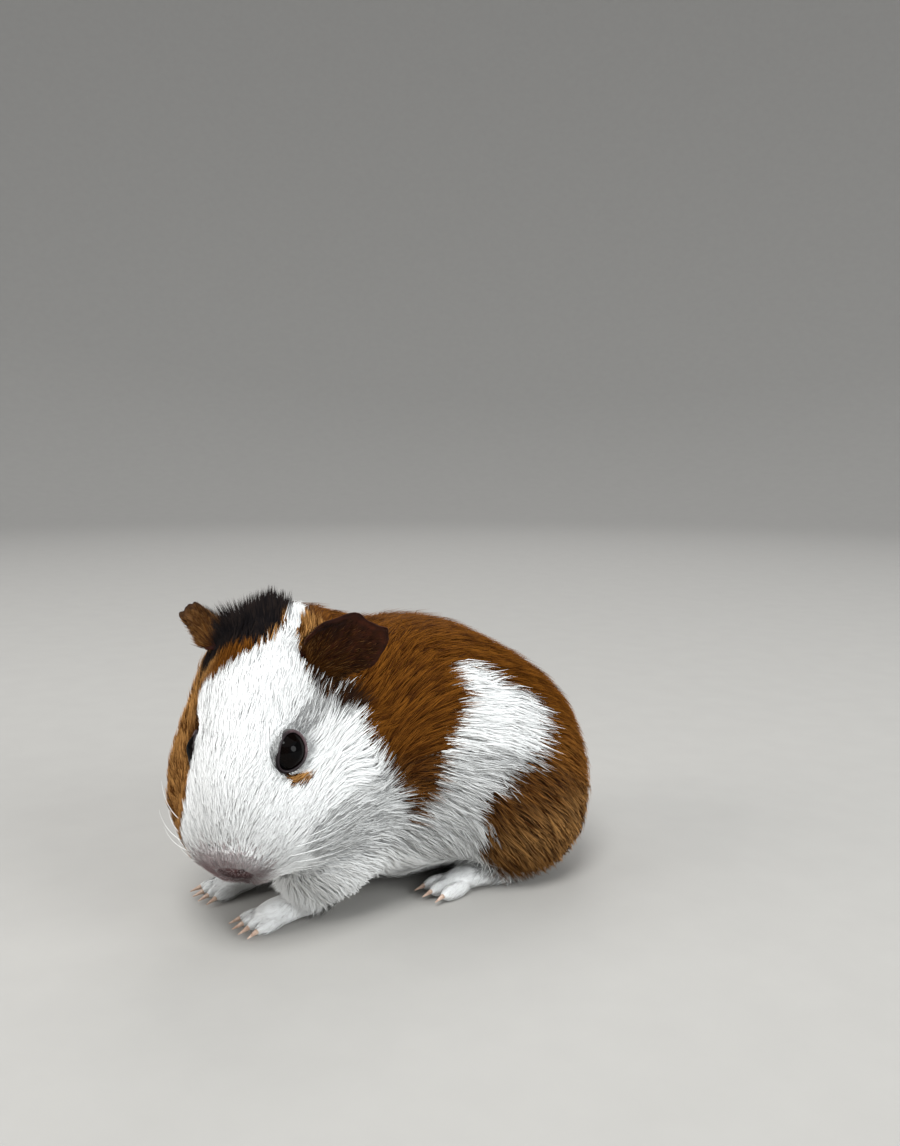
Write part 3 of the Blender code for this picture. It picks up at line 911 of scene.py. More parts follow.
# Lid edges: a thin rim along each opening, place = eye centre + direction at the edge angle.
def makeLidRims():
    steps, around = 120, 10
    turn = np.linspace(0, 2 * np.pi, steps)
    paths, sides, rises, darks = [], [], [], []
    for side in eyeSides:
        axis, long, short = eyeTurns[side]
        edge = np.radians(lidEdge(turn, side) + eyeShape["rimBack"])
        outward = (np.cos(edge)[:, None] * axis + (np.sin(edge) * np.cos(turn))[:, None] * long
                   + (np.sin(edge) * np.sin(turn))[:, None] * short)
        path = eyeCentres[side] + outward * (eyeShape["ball"] + eyeShape["rimOut"])
        ahead = unit(np.gradient(path, axis=0))
        ahead[0] = ahead[-1] = unit(path[1] - path[-2])
        paths.append(path)
        sides.append(outward)
        rises.append(np.cross(ahead, outward))
        dark = 1 - 0.75 * ramp(-np.cos(turn) + 0.5 * np.sin(turn) * side, 0.1, 1.0)
        darks += [np.repeat(dark, around), dark[[0, -1]]]
    radii = np.full((len(paths), steps), eyeShape["rim"])
    places, faceSets = sweptTubes(np.array(paths), np.array(sides), np.array(rises), radii, around)
    makePiece("lidRims", places, faceSets, {"dark": np.concatenate(darks)}, finishes["lid"])


makeEye(1, "Left")
makeEye(-1, "Right")
makeLidRims()
print("eyes made")

# Ears. root: lower and upper ends of the root line; rim: from the lower root round the edge to the upper.
earPlan = {
    "left": {"root": ((15.5, 8.5, 2.0), (11.5, 6.0, 14.0)), "cup": 2.6, "fold": 2.2,
             "ragged": 0.008, "warm": 0.08,
             "rim": ((17.0, 8.6, 3.4), (20.0, 8.4, 5.2), (25.6, 8.1, 7.1), (28.9, 7.9, 8.0),
                     (31.6, 7.2, 11.3), (33.5, 6.5, 14.2), (35.0, 5.8, 17.5), (35.3, 5.0, 20.4),
                     (32.8, 4.8, 21.5), (29.9, 4.2, 23.8), (28.2, 3.6, 26.1), (24.6, 3.6, 26.2),
                     (22.4, 3.7, 25.6), (17.8, 4.5, 21.9), (11.8, 6.2, 14.4))},
    "right": {"root": ((-17.8, 0.5, 6.0), (-11.0, 0.0, 11.5)), "cup": 1.8, "fold": 0.4,
              "ragged": 0.022, "warm": 0.8,
              "rim": ((-18.3, 0.4, 5.8), (-23.6, -4.0, 7.8), (-27.5, -7.8, 9.8), (-24.8, -8.7, 12.9),
                      (-21.6, -8.4, 14.6), (-18.0, -7.0, 15.0), (-14.4, -3.8, 14.0),
                      (-11.2, -0.4, 11.8))},
}
earThickness = 0.9


# A smooth curve through points: cubic steps with slopes from their neighbours.
def curveThrough(points, samples):
    points = np.asarray(points, float)
    steps = np.concatenate([[0], np.cumsum(np.linalg.norm(np.diff(points, axis=0), axis=1))])
    slopes = np.gradient(points, steps, axis=0)
    at = np.linspace(0, steps[-1], samples)
    index = np.clip(np.searchsorted(steps, at) - 1, 0, len(points) - 2)
    width = (steps[index + 1] - steps[index])[:, None]
    t = (at - steps[index])[:, None] / width
    return ((2 * t ** 3 - 3 * t ** 2 + 1) * points[index]
            + (t ** 3 - 2 * t ** 2 + t) * width * slopes[index]
            + (3 * t ** 2 - 2 * t ** 3) * points[index + 1]
            + (t ** 3 - t ** 2) * width * slopes[index + 1])


# Root line ends, direction to the tip, and the way the inside faces, in body directions.
def earFrame(plan):
    low, high = onHead(plan["root"])
    rim = onHead(plan["rim"])
    along = unit(rim[len(rim) // 2 - 1:len(rim) // 2 + 1].mean(axis=0) - (low + high) / 2)
    facing = unit(np.cross(along, high - low))
    return low, high, along, facing * np.sign(facing @ alongHead((0.3, 1, 0.3)))


# Ear surface: place = root + reach (rim - root) - cup 4 a (1 - a) reach (1.7 - reach) facing, a from 0 at
# the lower edge to 1 at the upper, whose edge is folded over to the front.
def earPlace(plan, reach, across):
    low, high, along, facing = earFrame(plan)
    a = across[0] * 0.5 + 0.5
    rim = curveThrough(onHead(plan["rim"]), across.shape[1])
    root = low + (high - low) * a[:, None]
    teeth = np.sin(a * 23) + 0.8 * np.sin(a * 51 + 1) + 0.5 * np.sin(a * 97)
    ragged = 1 + plan["ragged"] * teeth[None] * reach ** 6
    cup = plan["cup"] * 4 * a * (1 - a) * reach * (1.7 - reach)
    fold = plan["fold"] * ramp(a, 0.58, 0.72) * (1 - ramp(a, 0.86, 0.98)) * ramp(reach, 0.62, 1.0)
    return (root + (reach * ragged)[..., None] * (rim - root) - (cup - fold)[..., None] * facing
            - (0.8 * fold)[..., None] * along)


# An ear's surface on a grid of reach, from start to the rim, by across, and its normal to the inside.
def earSheet(plan, start, rows, columns):
    reach, across = np.meshgrid(np.linspace(start, 1, rows), np.linspace(-1, 1, columns), indexing="ij")
    middle = earPlace(plan, reach, across)
    normal = unit(np.cross(np.gradient(middle, axis=0), np.gradient(middle, axis=1)))
    return reach, across, middle, normal * np.sign((normal * earFrame(plan)[3]).sum(axis=-1).mean())


# Ear: its surface with half the wall to either side, ridged on the inside, and walls round the border.
def makeEar(label):
    plan = earPlan[label]
    rows, columns = 44, 60
    reach, across, middle, normal = earSheet(plan, -0.12, rows, columns)
    edge = np.minimum(1 - np.abs(across), np.clip(1 - reach, 0, 1) * 1.4)
    wall = 0.5 * earThickness * (0.25 + 0.75 * np.sqrt(np.clip(edge / 0.12, 0, 1))) * (1.25 - 0.45 * reach)
    ridges = 0.10 * np.sin(across * 26 + 2.5 * np.sin(reach * 4)) * ramp(reach, 0.05, 0.3)
    furrow = 0.5 + 0.5 * np.sin(across * 52 + 3 * np.sin(reach * 5) + 0.8 * np.sin(reach * 19))
    inside = middle + normal * (wall + ridges * ramp(edge, 0.02, 0.15))[..., None]
    outside = middle - normal * wall[..., None]
    count = rows * columns
    front = gridFaces(rows, columns)
    at = np.arange(count).reshape(rows, columns)
    border = np.concatenate([at[0, :-1], at[:-1, -1], at[-1, :0:-1], at[:0:-1, 0]])
    following = np.roll(border, -1)
    walls = np.stack([border, border + count, following + count, following], axis=-1)
    row, column = rows // 2, columns // 2
    first = np.cross(inside[row, column + 1] - inside[row, column],
                     inside[row + 1, column] - inside[row, column])
    faces = [front, front[:, ::-1] + count, walls[:, ::-1]]
    if first @ normal[row, column] < 0:
        faces = [some[:, ::-1] for some in faces]
    # painted shade in the hollow under the left ear's folded upper edge
    foldShade = np.exp(-((across - 0.45) / 0.20) ** 2 - ((reach - 0.78) / 0.17) ** 2)
    dark = 0.4 * (1 - ramp(edge, 0.03, 0.13)) + (foldShade if label == "left" else 0.4 * ramp(reach, 0.8, 1))
    warm = plan["warm"] * ramp(reach, 0.1, 0.6)
    values = {"furrow": (furrow * ramp(edge, 0.03, 0.2), 0 * furrow),
              "dark": (np.clip(dark, 0, 1), 0.3 * dark), "warm": (warm, warm + 0.2)}
    values = {key: np.concatenate(pair).ravel() for key, pair in values.items()}
    ear = makePiece("ear" + label.capitalize(), np.concatenate([inside, outside]).reshape(-1, 3), faces,
                    values, finishes["ear"])
    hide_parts("ear_" + label)


makeEar("left")
makeEar("right")
print("ears made")

# Lie of the coat. strokes: place and direction, on the head as (across, forward, up), on the trunk as
# (x, y, z); each is mirrored.
headStrokes = [
    ((0, 58, 0), (0, -0.5, 1)), ((0, 50, 9), (0, -1, 0.5)), ((0, 40, 15), (0, -1, 0.1)),
    ((0, 25, 19), (0, -1, 0)), ((0, 12, 19), (0, -1, 0.05)), ((0, 3, 19), (0, -0.8, 0.7)),
    ((4, 56, -4), (0.6, -0.8, 0.5)), ((8, 50, 3), (0.45, -1, 0.25)), ((8, 42, 12), (0.25, -1, 0.1)),
    ((13, 50, -7), (0.5, -1, -0.15)), ((14, 42, 2), (0.2, -1, -0.1)), ((11, 37, 13), (0.2, -1, 0.15)),
    ((12, 25, 15), (0.15, -1, 0.05)), ((16, 22, 8), (0.05, -1, 0.05)), ((18, 32, 0), (0.1, -1, -0.25)),
    ((20, 38, -10), (0.2, -1, -0.3)), ((25, 26, -12), (0.05, -1, -0.3)), ((25, 12, -8), (0.1, -1, -0.2)),
    ((24, 8, -18), (0, -1, -0.5)), ((14, 12, 14), (0.15, -1, 0.1)), ((18, 14, 3), (0.25, -1, 0.0)),
    ((7, 50, -17), (0.3, -1, -0.3)), ((0, 46, -20), (0, -1, -0.2)), ((12, 32, -22), (0.1, -1, -0.2)),
    ((0, 20, -26), (0, -1, -0.2)), ((10, 5, 16), (0.25, -0.9, 0.3)), ((20, -4, 4), (0.2, -1, -0.2)),
    ((0, -8, 16), (0, -1, 0.5)), ((0, -16, 10), (0, -1, -0.1)),
]
trunkStrokes = [
    ((0, -46, 30), (0, 0.2, -1)), ((14, -42, 36), (0.2, 0.6, -0.8)),
    ((26, -22, 40), (0.1, 1, -0.5)), ((26, -12, 55), (0.1, 1, -0.25)), ((0, -8, 72), (0, 1, 0)),
    ((0, 20, 77), (0, 1, 0)), ((20, 15, 68), (0.08, 1, -0.15)), ((35, 10, 45), (0.05, 1, -0.3)),
    ((34, 12, 22), (0, 1, -0.85)), ((36, 24, 26), (0, 1, -0.85)), ((35, 2, 33), (0, 1, -0.6)),
    ((33, 2, 20), (0, 1, -0.75)), ((34, 42, 47), (0, 1, -0.8)), ((25, 0, 10), (-0.1, 1, -0.3)),
    ((0, 45, 64), (0, 1, -0.4)), ((22, 45, 56), (0.1, 1, -0.45)), ((36, 38, 38), (0.05, 1, -0.85)),
    ((38, 46, 22), (0, 0.8, -0.8)), ((30, 58, 18), (-0.15, 0.6, -0.9)), ((0, 66, 48), (0, 0.6, -0.9)),
    ((0, 74, 28), (0, 0.1, -1)), ((20, 68, 30), (0, 0.4, -0.95)), ((0, 20, 1), (0, 1, 0)),
    ((18, -24, 20), (0.1, 0.6, -0.8)), ((13, -24, 8), (0, -0.2, -1)), ((12.5, -34, 6), (0, -1, -0.3)),
    ((24, 26, 8), (0, -1, -0.2)), ((24, 14, 5), (0, -1, -0.4)), ((32, 30, 14), (0, 0.7, -0.8)),
]


# What is left of vectors once their part along the normals is taken away, at unit length.
def laidFlat(vectors, normals):
    return unit(vectors - normals * (vectors * normals).sum(axis=-1, keepdims=True))


# Coat directions: strokes weighted by 1 / (distance^2 + reach^2)^2, laid along the skin.
def coatDirections(points, normals):
    places, directions = [], []
    for strokes, place, turn in ((headStrokes, onHead, alongHead), (trunkStrokes, np.array, np.array)):
        for at, direction in strokes:
            for side in ((1, -1) if at[0] else (1,)):
                places.append(place(np.array(at, float) * (side, 1, 1)))
                directions.append(turn(unit(np.array(direction, float) * (side, 1, 1))))
    away = ((points[:, None, :] - np.array(places)[None]) ** 2).sum(axis=-1)
    return laidFlat((1 / (away + 9) ** 2) @ np.array(directions), normals)


# The coat: a tuft is a closed three-sided curved spike. total and tuftLimit are tufts in all and in a
# piece; spread and clump turn single tufts and wandering patches; locks are cells of lockSize, whose tufts
# draw together sideways by lockDraw and turn by lockTurn; hair stands up along the crest's line.
coatPlan = {"total": 236000, "tuftLimit": 32500, "seed": 7, "spread": 0.085, "clump": 0.24,
            "softShade": 0.7, "lockSize": 1.15, "lockDraw": 0.8, "lockTurn": 0.07, "curl": 0.10,
            "loose": 0.035, "rootSink": 0.25, "middle": 0.42, "lowest": 0.45,
            "crestLine": ((2.5, -2.5, 14.5), (-11.5, 0.5, 9.5)), "crestLength": 13.5, "crestShorter": 0.38}
dice = np.random.default_rng(coatPlan["seed"])


# Roots: so many on each skin triangle as its area times the density, chance filling the fraction.
def scatterRoots(faces, points, densityAt):
    triangles = np.concatenate([faceSet[:, [0, i, i + 1]] for faceSet in faces
                                for i in range(1, faceSet.shape[1] - 1)])
    a, b, c = (points[triangles[:, i]] for i in range(3))
    area = 0.5 * np.linalg.norm(np.cross(b - a, c - a), axis=-1)
    density = densityAt((a + b + c) / 3)
    wanted = area * density
    wanted *= coatPlan["total"] / wanted.sum()
    count = np.floor(wanted + dice.random(len(wanted))).astype(int)
    which = np.repeat(np.arange(len(triangles)), count)
    u, v = dice.random((2, len(which)))
    over = u + v > 1
    u, v = np.where(over, 1 - u, u), np.where(over, 1 - v, v)
    return a[which] + u[:, None] * (b - a)[which] + v[:, None] * (c - a)[which]


# shares of their tufts that belly and nose lose, and that feet and lips keep; eyes is the lids' bare edge
thinPlan = {"feetBelow": 3.0, "feet": 0.35, "belly": 0.55, "bellySlope": (0.55, 0.9), "nose": 0.6,
            "eyes": 0.25, "lipReach": 1.0, "lips": 0.3}


# Tufts per square millimetre: the coat's own, fewer on feet, belly, nose and lips, and none in the eyes.
def tuftDensity(points):
    density = bodyField(points)[1][:, 3].copy()
    density[points[:, 2] < thinPlan["feetBelow"]] *= thinPlan["feet"]
    density *= 1 - thinPlan["belly"] * ramp(-bodySlope(points)[:, 2], *thinPlan["bellySlope"])
    density *= 1 - thinPlan["nose"] * bareSkin(points)[1]
    density[fromEyes(points) < thinPlan["eyes"]] = 0
    lip = nosePlan["lip"]
    lipGap = capsuleGap(mirrored(toHead(points)), lip["from"], lip["to"], thinPlan["lipReach"])
    density[lipGap < 0] *= thinPlan["lips"]
    return density


roots = scatterRoots(skinFaces, skinPoints, tuftDensity)
print(len(roots), "tufts to grow")


# Locks: the tufts rooted in one wandering cell, how many they are, and three bell-shaped chances for each.
def findLocks(roots):
    wander = np.stack([drift(roots, 2.6, channel) for channel in range(3)], axis=-1)
    cells = np.floor((roots + 0.8 * wander) / coatPlan["lockSize"]).astype(int) + 100
    _, lock = np.unique(cells @ np.array([1000000, 1000, 1]), return_inverse=True)
    return lock, np.bincount(lock), dice.normal(size=(3, lock.max() + 1))[:, lock]


# how hair turns and grows round the eyes, the ears and the crest: reaches in millimetres, turns as shares
# of the coat's own direction, lengths in millimetres or as shares of the coat's own
combPlan = {"eyeReach": (6.5, 12.5), "eyeTurn": 0.4, "eyeOut": 1.25, "lidReach": (1.0, 4.0),
            "earReach": (2.0, 6.5), "earTurn": 1.6, "earLonger": 0.65, "earStand": 0.5,
            "crestReach": (3.0, 7.5), "crestStand": 0.92, "noseShorter": 0.5,
            "eyeShort": 0.42, "eyeThin": 0.75, "lidLow": 0.35, "lidHair": 2.2, "lidLength": (1.9, 1.2)}


# Lie of the hair at roots, and how near each ear is: the coat's own directions, turned round the eyes and
# out along the ears.
def combHair(roots, normal, nearEye):
    lie = coatDirections(roots, normal)
    for side in eyeSides:
        outward = unit(roots - eyeCentres[side] - eyeTurns[side][0] * 3)
        near = 1 - ramp(np.linalg.norm(roots - eyeCentres[side], axis=-1), *combPlan["eyeReach"])
        into = np.clip(-(lie * outward).sum(axis=-1), 0, 1) * (near > 0)
        into = into * (1 - ramp(nearEye, *combPlan["lidReach"]))
        lie = unit(lie + outward * (combPlan["eyeTurn"] * near + combPlan["eyeOut"] * into)[:, None])
    nearEars = []
    for plan in earPlan.values():
        low, high, along, _ = earFrame(plan)
        nearEars.append(1 - ramp(capsuleGap(roots, low, high, 0), *combPlan["earReach"]))
        lie = unit(lie + along * (combPlan["earTurn"] * nearEars[-1])[:, None])
    return laidFlat(lie, normal), nearEars


# Length, width, rise and lie of the hair at roots; then each tuft's places: root, middle and tip, each
# draped to its own height above the skin.
def growTufts(roots):
    _, normal, coat = surface(roots)
    depth, length, width, _, stand = coat.T
    chance = dice.random((5, len(roots)))
    bell = dice.normal(size=(3, len(roots)))
    nearEye = fromEyes(roots)
    lie, nearEars = combHair(roots, normal, nearEye)
    eyeShort, lidLow = combPlan["eyeShort"], combPlan["lidLow"]
    length = length * (eyeShort + (1 - eyeShort) * ramp(nearEye, 0.2, 4.0)) * (0.72 + 0.5 * chance[0])
    length *= 1 - combPlan["noseShorter"] * bareSkin(roots)[1]
    for near in nearEars:
        length = length * (1 + combPlan["earLonger"] * near)
    crestNear = 1 - ramp(capsuleGap(roots, *onHead(coatPlan["crestLine"]), 0), *combPlan["crestReach"])
    stand = np.maximum(stand * (1 - 0.3 * crestNear), combPlan["crestStand"] * crestNear)
    least, longer = combPlan["lidLength"]
    length = np.where(nearEye < combPlan["lidHair"], np.minimum(length, least + longer * nearEye), length)
    toRight = ramp(-toHead(roots)[:, 0], 0, 9)
    crestLength = coatPlan["crestLength"] * (1 - coatPlan["crestShorter"] * toRight)
    length = np.maximum(length, crestLength * crestNear * (0.62 + 0.55 * chance[0]))
    eyeThin = combPlan["eyeThin"]
    width = width * (eyeThin + (1 - eyeThin) * ramp(nearEye, 0, 4)) * (0.8 + 0.45 * chance[1])
    beside = np.cross(normal, lie)
    lock, lockCount, lockBell = findLocks(roots)
    angle = (coatPlan["clump"] * (0.55 * drift(roots, 7.0, 0) + 0.5 * drift(roots, 2.2, 1))
             + coatPlan["spread"] * bell[0] + coatPlan["lockTurn"] * lockBell[0])
    lie = np.cos(angle)[:, None] * lie + np.sin(angle)[:, None] * beside
    beside = np.cross(normal, lie)
    rise = depth * (0.54 + 0.56 * chance[2] ** 1.2) * (lidLow + (1 - lidLow) * ramp(nearEye, 0.2, 3.5))
    rise *= 1 + 0.12 * drift(roots, 3.0, 2) + 0.10 * lockBell[1]
    rise = np.maximum(rise - np.clip(bodyField(roots)[0], 0, 9), coatPlan["lowest"])
    loose = (chance[3] < coatPlan["loose"]) * chance[4]
    curl = coatPlan["curl"] * bell[1] * length
    standing = np.max([stand, *(combPlan["earStand"] * near for near in nearEars)], axis=0)
    standing = np.clip(standing + 0.25 * loose, 0, 1)
    places = [roots - normal * coatPlan["rootSink"]]
    for share, height in ((coatPlan["middle"], 0.8), (1.0, 1.0)):
        reach = length * share * (1 - 0.35 * standing)
        spot = roots + lie * reach[:, None] + beside * (curl * share ** 2)[:, None]
        centre = np.stack([np.bincount(lock, spot[:, axis]) for axis in range(3)], axis=-1)
        aside = (((centre / lockCount[:, None])[lock] - spot) * beside).sum(axis=-1)
        spot = spot + beside * (coatPlan["lockDraw"] * share * ramp(length, 2.2, 6.5) * aside)[:, None]
        for _ in range(2):
            spotValue, spotNormal, _ = surface(spot)
            spot = spot - spotNormal * np.clip(spotValue - rise * height, -6, 6)[:, None]
        lean = lie * (0.55 - 0.25 * standing)[:, None] + normal * standing[:, None]
        lifted = roots + lean * reach[:, None]
        places.append(spot + (lifted - spot) * (standing * 0.85)[:, None])
    return places, normal, lockBell[2], width, chance


# Tufts as mesh: a point at the root, a ring of three corners, and a point at the tip; ridge up.
# The shading normals lean to the skin's, so that the hairs shade as one coat.
def buildTufts(name, roots, places, normal, width, values, uvPlaces):
    start, middle, tip = places
    ahead = unit(tip - start)
    side = unit(np.cross(ahead, normal))
    up = np.cross(side, ahead)
    half = (0.5 * width)[:, None]
    points = np.stack([start, middle + side * half, middle + up * half * 0.6, middle - side * half, tip],
                      axis=1)
    lean = coatPlan["softShade"]
    shades = np.stack([normal, unit(lean * normal + (1 - lean) * side), normal,
                       unit(lean * normal - (1 - lean) * side), normal], axis=1)
    points = points.reshape(-1, 3)
    points[:, 2] = np.maximum(points[:, 2], 0.02)
    each = np.array([(0, 1, 2), (0, 2, 3), (0, 3, 1), (2, 1, 4), (3, 2, 4), (1, 3, 4)])
    faces = (each[None] + (np.arange(len(roots)) * 5)[:, None, None]).reshape(-1, 3)
    perPoint = {key: np.repeat(numbers, 5) for key, numbers in values.items()}
    middleShare = coatPlan["middle"]
    perPoint["along"] = np.tile([0, middleShare, middleShare, middleShare, 1.0], len(roots))
    piece = makePiece(name, points, [faces], perPoint, finishes["fur"])
    piece.data.normals_split_custom_set_from_vertices(shades.reshape(-1, 3).astype(np.float32))
    patch = np.array([(0.5, 0), (0, 0.5), (0.5, 0.5), (1, 0.5), (0.5, 1)]) * 0.003
    uv = (uvPlaces[:, None, :] + patch[None]).reshape(-1, 2)
    layer = piece.data.uv_layers.new(name="OFBake")
    layer.data.foreach_set("uv", uv[faces.ravel()].astype(np.float32).ravel())


# Unwrap of the coat: round the head or the body by angle about its middle, and along it by place.
def unwrap(points, onTheHead):
    place = toHead(points) if onTheHead else points
    middle, start, length = (-5, -25, 86) if onTheHead else (34, -50, 128)
    around = np.arctan2(place[:, 0], place[:, 2] - middle) / (2 * np.pi) + 0.5
    along = np.clip((place[:, 1] - start) / length, 0, 1)
    return np.stack([0.997 * around, 0.997 * along], axis=-1)


places, normals, lockTones, widths, chances = growTufts(roots)
kept = (fromEyes(places[1]) > 0.1) & (fromEyes(places[2]) > -0.4)
roots, normals, lockTones, widths = (numbers[kept] for numbers in (roots, normals, lockTones, widths))
chances = chances[:, kept]
places = [place[kept] for place in places]
print(len(roots), "tufts grown")
headPlace = toHead(roots)


# Tuft colours. cuts (least, reach): the share at which chance makes a tuft ginger or black; border: dark
# tufts at the white's border, more of them on the haunch; streaks: white ones before the left ear; lid:
# dark ones round the eyes; nose: rosy ones over it and dark ones under it; tone: level, patches, locks,
# single tufts.
tuftColours = {"gingerCut": (0.1, 0.8), "blackCut": (0.25, 0.5), "blackLeast": 0.62, "blackFaint": 0.35,
               "border": {"chance": (0.16, 0.2), "inside": (-2, -1.6), "outside": 2.2, "black": 0.55},
               "streaks": {"reach": 6.5, "chance": 0.22, "forward": 10, "black": 0.03},
               "lid": {"reach": (0.6, 1.8), "chance": 0.55, "black": 0.78},
               "nose": {"at": (-1.2, 57.5, -6.5), "radii": (4.6, 4.0, 5.0), "near": (-0.6, 5.2),
                        "far": (2.0, 8.5), "rosy": 0.9, "strays": 0.8, "chance": 0.4, "black": 0.8,
                        "below": (2.0, 6.5)},
               "tone": (0.5, 0.15, 0.18, 0.13)}


# Shares of ginger, black, pale, rosy and tone for each tuft. It takes the markings of where its middle
# lies, so that borders break up along the hair; chance makes each tuft one colour or the other.
def colourTufts():
    ginger, black, pale, whiteGap = markings(0.15 * roots + 0.45 * places[1] + 0.4 * places[2])
    least, reach = tuftColours["gingerCut"]
    ginger = (ginger > least + reach * chances[3]).astype(float)
    least, reach = tuftColours["blackCut"]
    black = np.where(black > least + reach * chances[4], np.maximum(black, tuftColours["blackLeast"]),
                     black * tuftColours["blackFaint"])
    border, haunch = tuftColours["border"], ramp(roots[:, 1], *markPlan["haunch"])
    dark = chances[1] < border["chance"][0] + border["chance"][1] * haunch
    dark &= (whiteGap > border["inside"][0] + border["inside"][1] * haunch) & (whiteGap < border["outside"])
    black = np.maximum(black, dark * border["black"])
    streaks = tuftColours["streaks"]
    streaked = capsuleGap(roots, *earFrame(earPlan["left"])[:2], streaks["reach"]) < 0
    streaked &= (chances[0] < streaks["chance"]) & (headPlace[:, 1] > streaks["forward"])
    ginger = np.where(streaked, 0, ginger)
    black = np.where(streaked, streaks["black"], black)
    lid = tuftColours["lid"]
    lidHair = (1 - ramp(fromEyes(roots), *lid["reach"])) * (chances[2] < lid["chance"])
    black = np.maximum(black, lid["black"] * lidHair)
    nose = tuftColours["nose"]
    noseGap = levelGap(headPlace, nose["at"], nose["radii"])
    near, far = (1 - ramp(noseGap, *nose[key]) for key in ("near", "far"))
    rosy = np.maximum(nose["rosy"] * near * (0.55 + 0.8 * chances[0]),
                      nose["strays"] * (chances[0] < nose["chance"] * far))
    black = np.maximum(black, nose["black"] * near * ramp(-headPlace[:, 2], *nose["below"]))
    level, patches, locks, tufts = tuftColours["tone"]
    tone = (level + patches * drift(roots, 2.4, 2) + locks * lockTones
            + tufts * dice.normal(size=len(roots)))
    return {"ginger": ginger, "black": black, "pale": pale, "rosy": np.clip(rosy, 0, 1),
            "tone": np.clip(tone, 0, 1)}


rootValues = colourTufts()
onTheHead = (headPlace[:, 1] > 4) & (roots[:, 1] < 10)
fore, up, back = headPlace[:, 1], headPlace[:, 2], roots[:, 1]
onLeft = np.where(onTheHead, headPlace[:, 0], roots[:, 0]) > 0
above = ~onTheHead & (roots[:, 2] >= 12)
coatRegions = {"noseCoat": onTheHead & (fore > 41), "browCoat": onTheHead & (fore <= 41) & (up > 4)}
for label, chosen in (("cheek", onTheHead & (fore <= 41) & (up <= 4)), ("neck", above & (back < -6)),
                      ("flank", above & (back >= -6) & (back <= 30)), ("rump", above & (back > 30))):
    coatRegions[label + "CoatLeft"] = chosen & onLeft
    coatRegions[label + "CoatRight"] = chosen & ~onLeft
coatRegions["underCoat"] = ~onTheHead & (roots[:, 2] < 12)
for name, chosen in coatRegions.items():
    rows = np.flatnonzero(chosen)
    parts = int(np.ceil(len(rows) / coatPlan["tuftLimit"]))
    for part in range(parts):
        some = rows[part::parts]
        label = name if parts == 1 else f"{name}{part + 1}"
        buildTufts(label, roots[some], [place[some] for place in places], normals[some], widths[some],
                   {key: numbers[some] for key, numbers in rootValues.items()},
                   unwrap(roots[some], bool(onTheHead[some[0]])))
        print(label, len(some))

# hair of the ears: longest at the root and shortest at the rim, in rows and columns of the ear's sheet,
# growing up to reach; inside is the inner face's share of it, black the shares at the root and added by
# the rim, and pale that of most tufts
earCoatPlan = {"count": 3600, "length": (7.0, 1.8), "width": 0.14, "rise": 0.28, "rows": 60, "columns": 90,
               "reach": 0.86, "inside": 0.6, "turn": 0.16, "paleChance": 0.2, "paleTuft": 0.9,
               "black": {"left": (0.30, 0.5), "right": (0.25, 0.45)}, "pale": {"left": 0.1, "right": 0.4}}


# Hair of an ear: roots by reach and across on both faces, lying outward, shorter towards the rim.
def makeEarCoat(label):
    luck = np.random.default_rng(21 + len(label))
    count, rows, columns = earCoatPlan["count"], earCoatPlan["rows"], earCoatPlan["columns"]
    middle, normal = earSheet(earPlan[label], -0.1, rows, columns)[2:]
    outward = unit(np.gradient(middle, axis=0))
    row = (luck.random(count) ** 1.5 * earCoatPlan["reach"] * (rows - 1)).astype(int)
    column = (luck.uniform(0.04, 0.96, count) * (columns - 1)).astype(int)
    face = np.where(luck.random(count) < earCoatPlan["inside"], 1.0, -1.0)[:, None]
    hairNormal = normal[row, column] * face
    root = middle[row, column] + hairNormal * 0.3 * earThickness
    share = row / (rows - 1)
    longest, shortest = earCoatPlan["length"]
    long = (longest + (shortest - longest) * share) * luck.uniform(0.6, 1.2, count)
    beside = np.cross(hairNormal, outward[row, column])
    way = unit(outward[row, column] + beside * (earCoatPlan["turn"] * luck.normal(size=count))[:, None])
    rise = earCoatPlan["rise"] * luck.uniform(0.5, 2.2, count) * (1.5 - share)
    half = root + way * (0.45 * long)[:, None] + hairNormal * rise[:, None]
    tip = root + way * long[:, None] + hairNormal * (1.3 * rise)[:, None]
    rootBlack, rimBlack = earCoatPlan["black"][label]
    black = rootBlack + rimBlack * (share if label == "left" else ramp(share, 0.6, 0.9))
    values = {"ginger": np.ones(count), "rosy": np.zeros(count),
              "pale": np.where(luck.random(count) < earCoatPlan["paleChance"], earCoatPlan["paleTuft"],
                               earCoatPlan["pale"][label]),
              "black": np.clip(black + 0.30 * luck.normal(size=count), 0, 1),
              "tone": np.clip(0.4 + 0.2 * luck.normal(size=count), 0, 1)}
    uv = np.stack([0.05 + 0.9 * column / columns, 0.02 + 0.45 * share + 0.5 * (face[:, 0] < 0)], axis=-1)
    buildTufts("earCoat" + label.capitalize(), root, [root - hairNormal * 0.2, half, tip], hairNormal,
               earCoatPlan["width"] * luck.uniform(0.7, 1.2, count), values, uv)


makeEarCoat("left")
makeEarCoat("right")
print("ear coats made")

# whiskers: rows and columns on each side of the muzzle, shortest and longest, the root's radius, the first
# root and the steps between roots, the way out and how it fans, and the bend, across, forward and up
whiskerPlan = {"rows": 4, "columns": 5, "length": (12.0, 27.0), "radius": 0.11, "at": (8.5, 51.5, -4.5),
               "apart": (1.2, 2.0, 2.4), "out": (0.85, -0.25, -0.30), "fan": (0.2, 0.12, 0.22),
               "bend": (-0.12, -0.30, -0.14)}


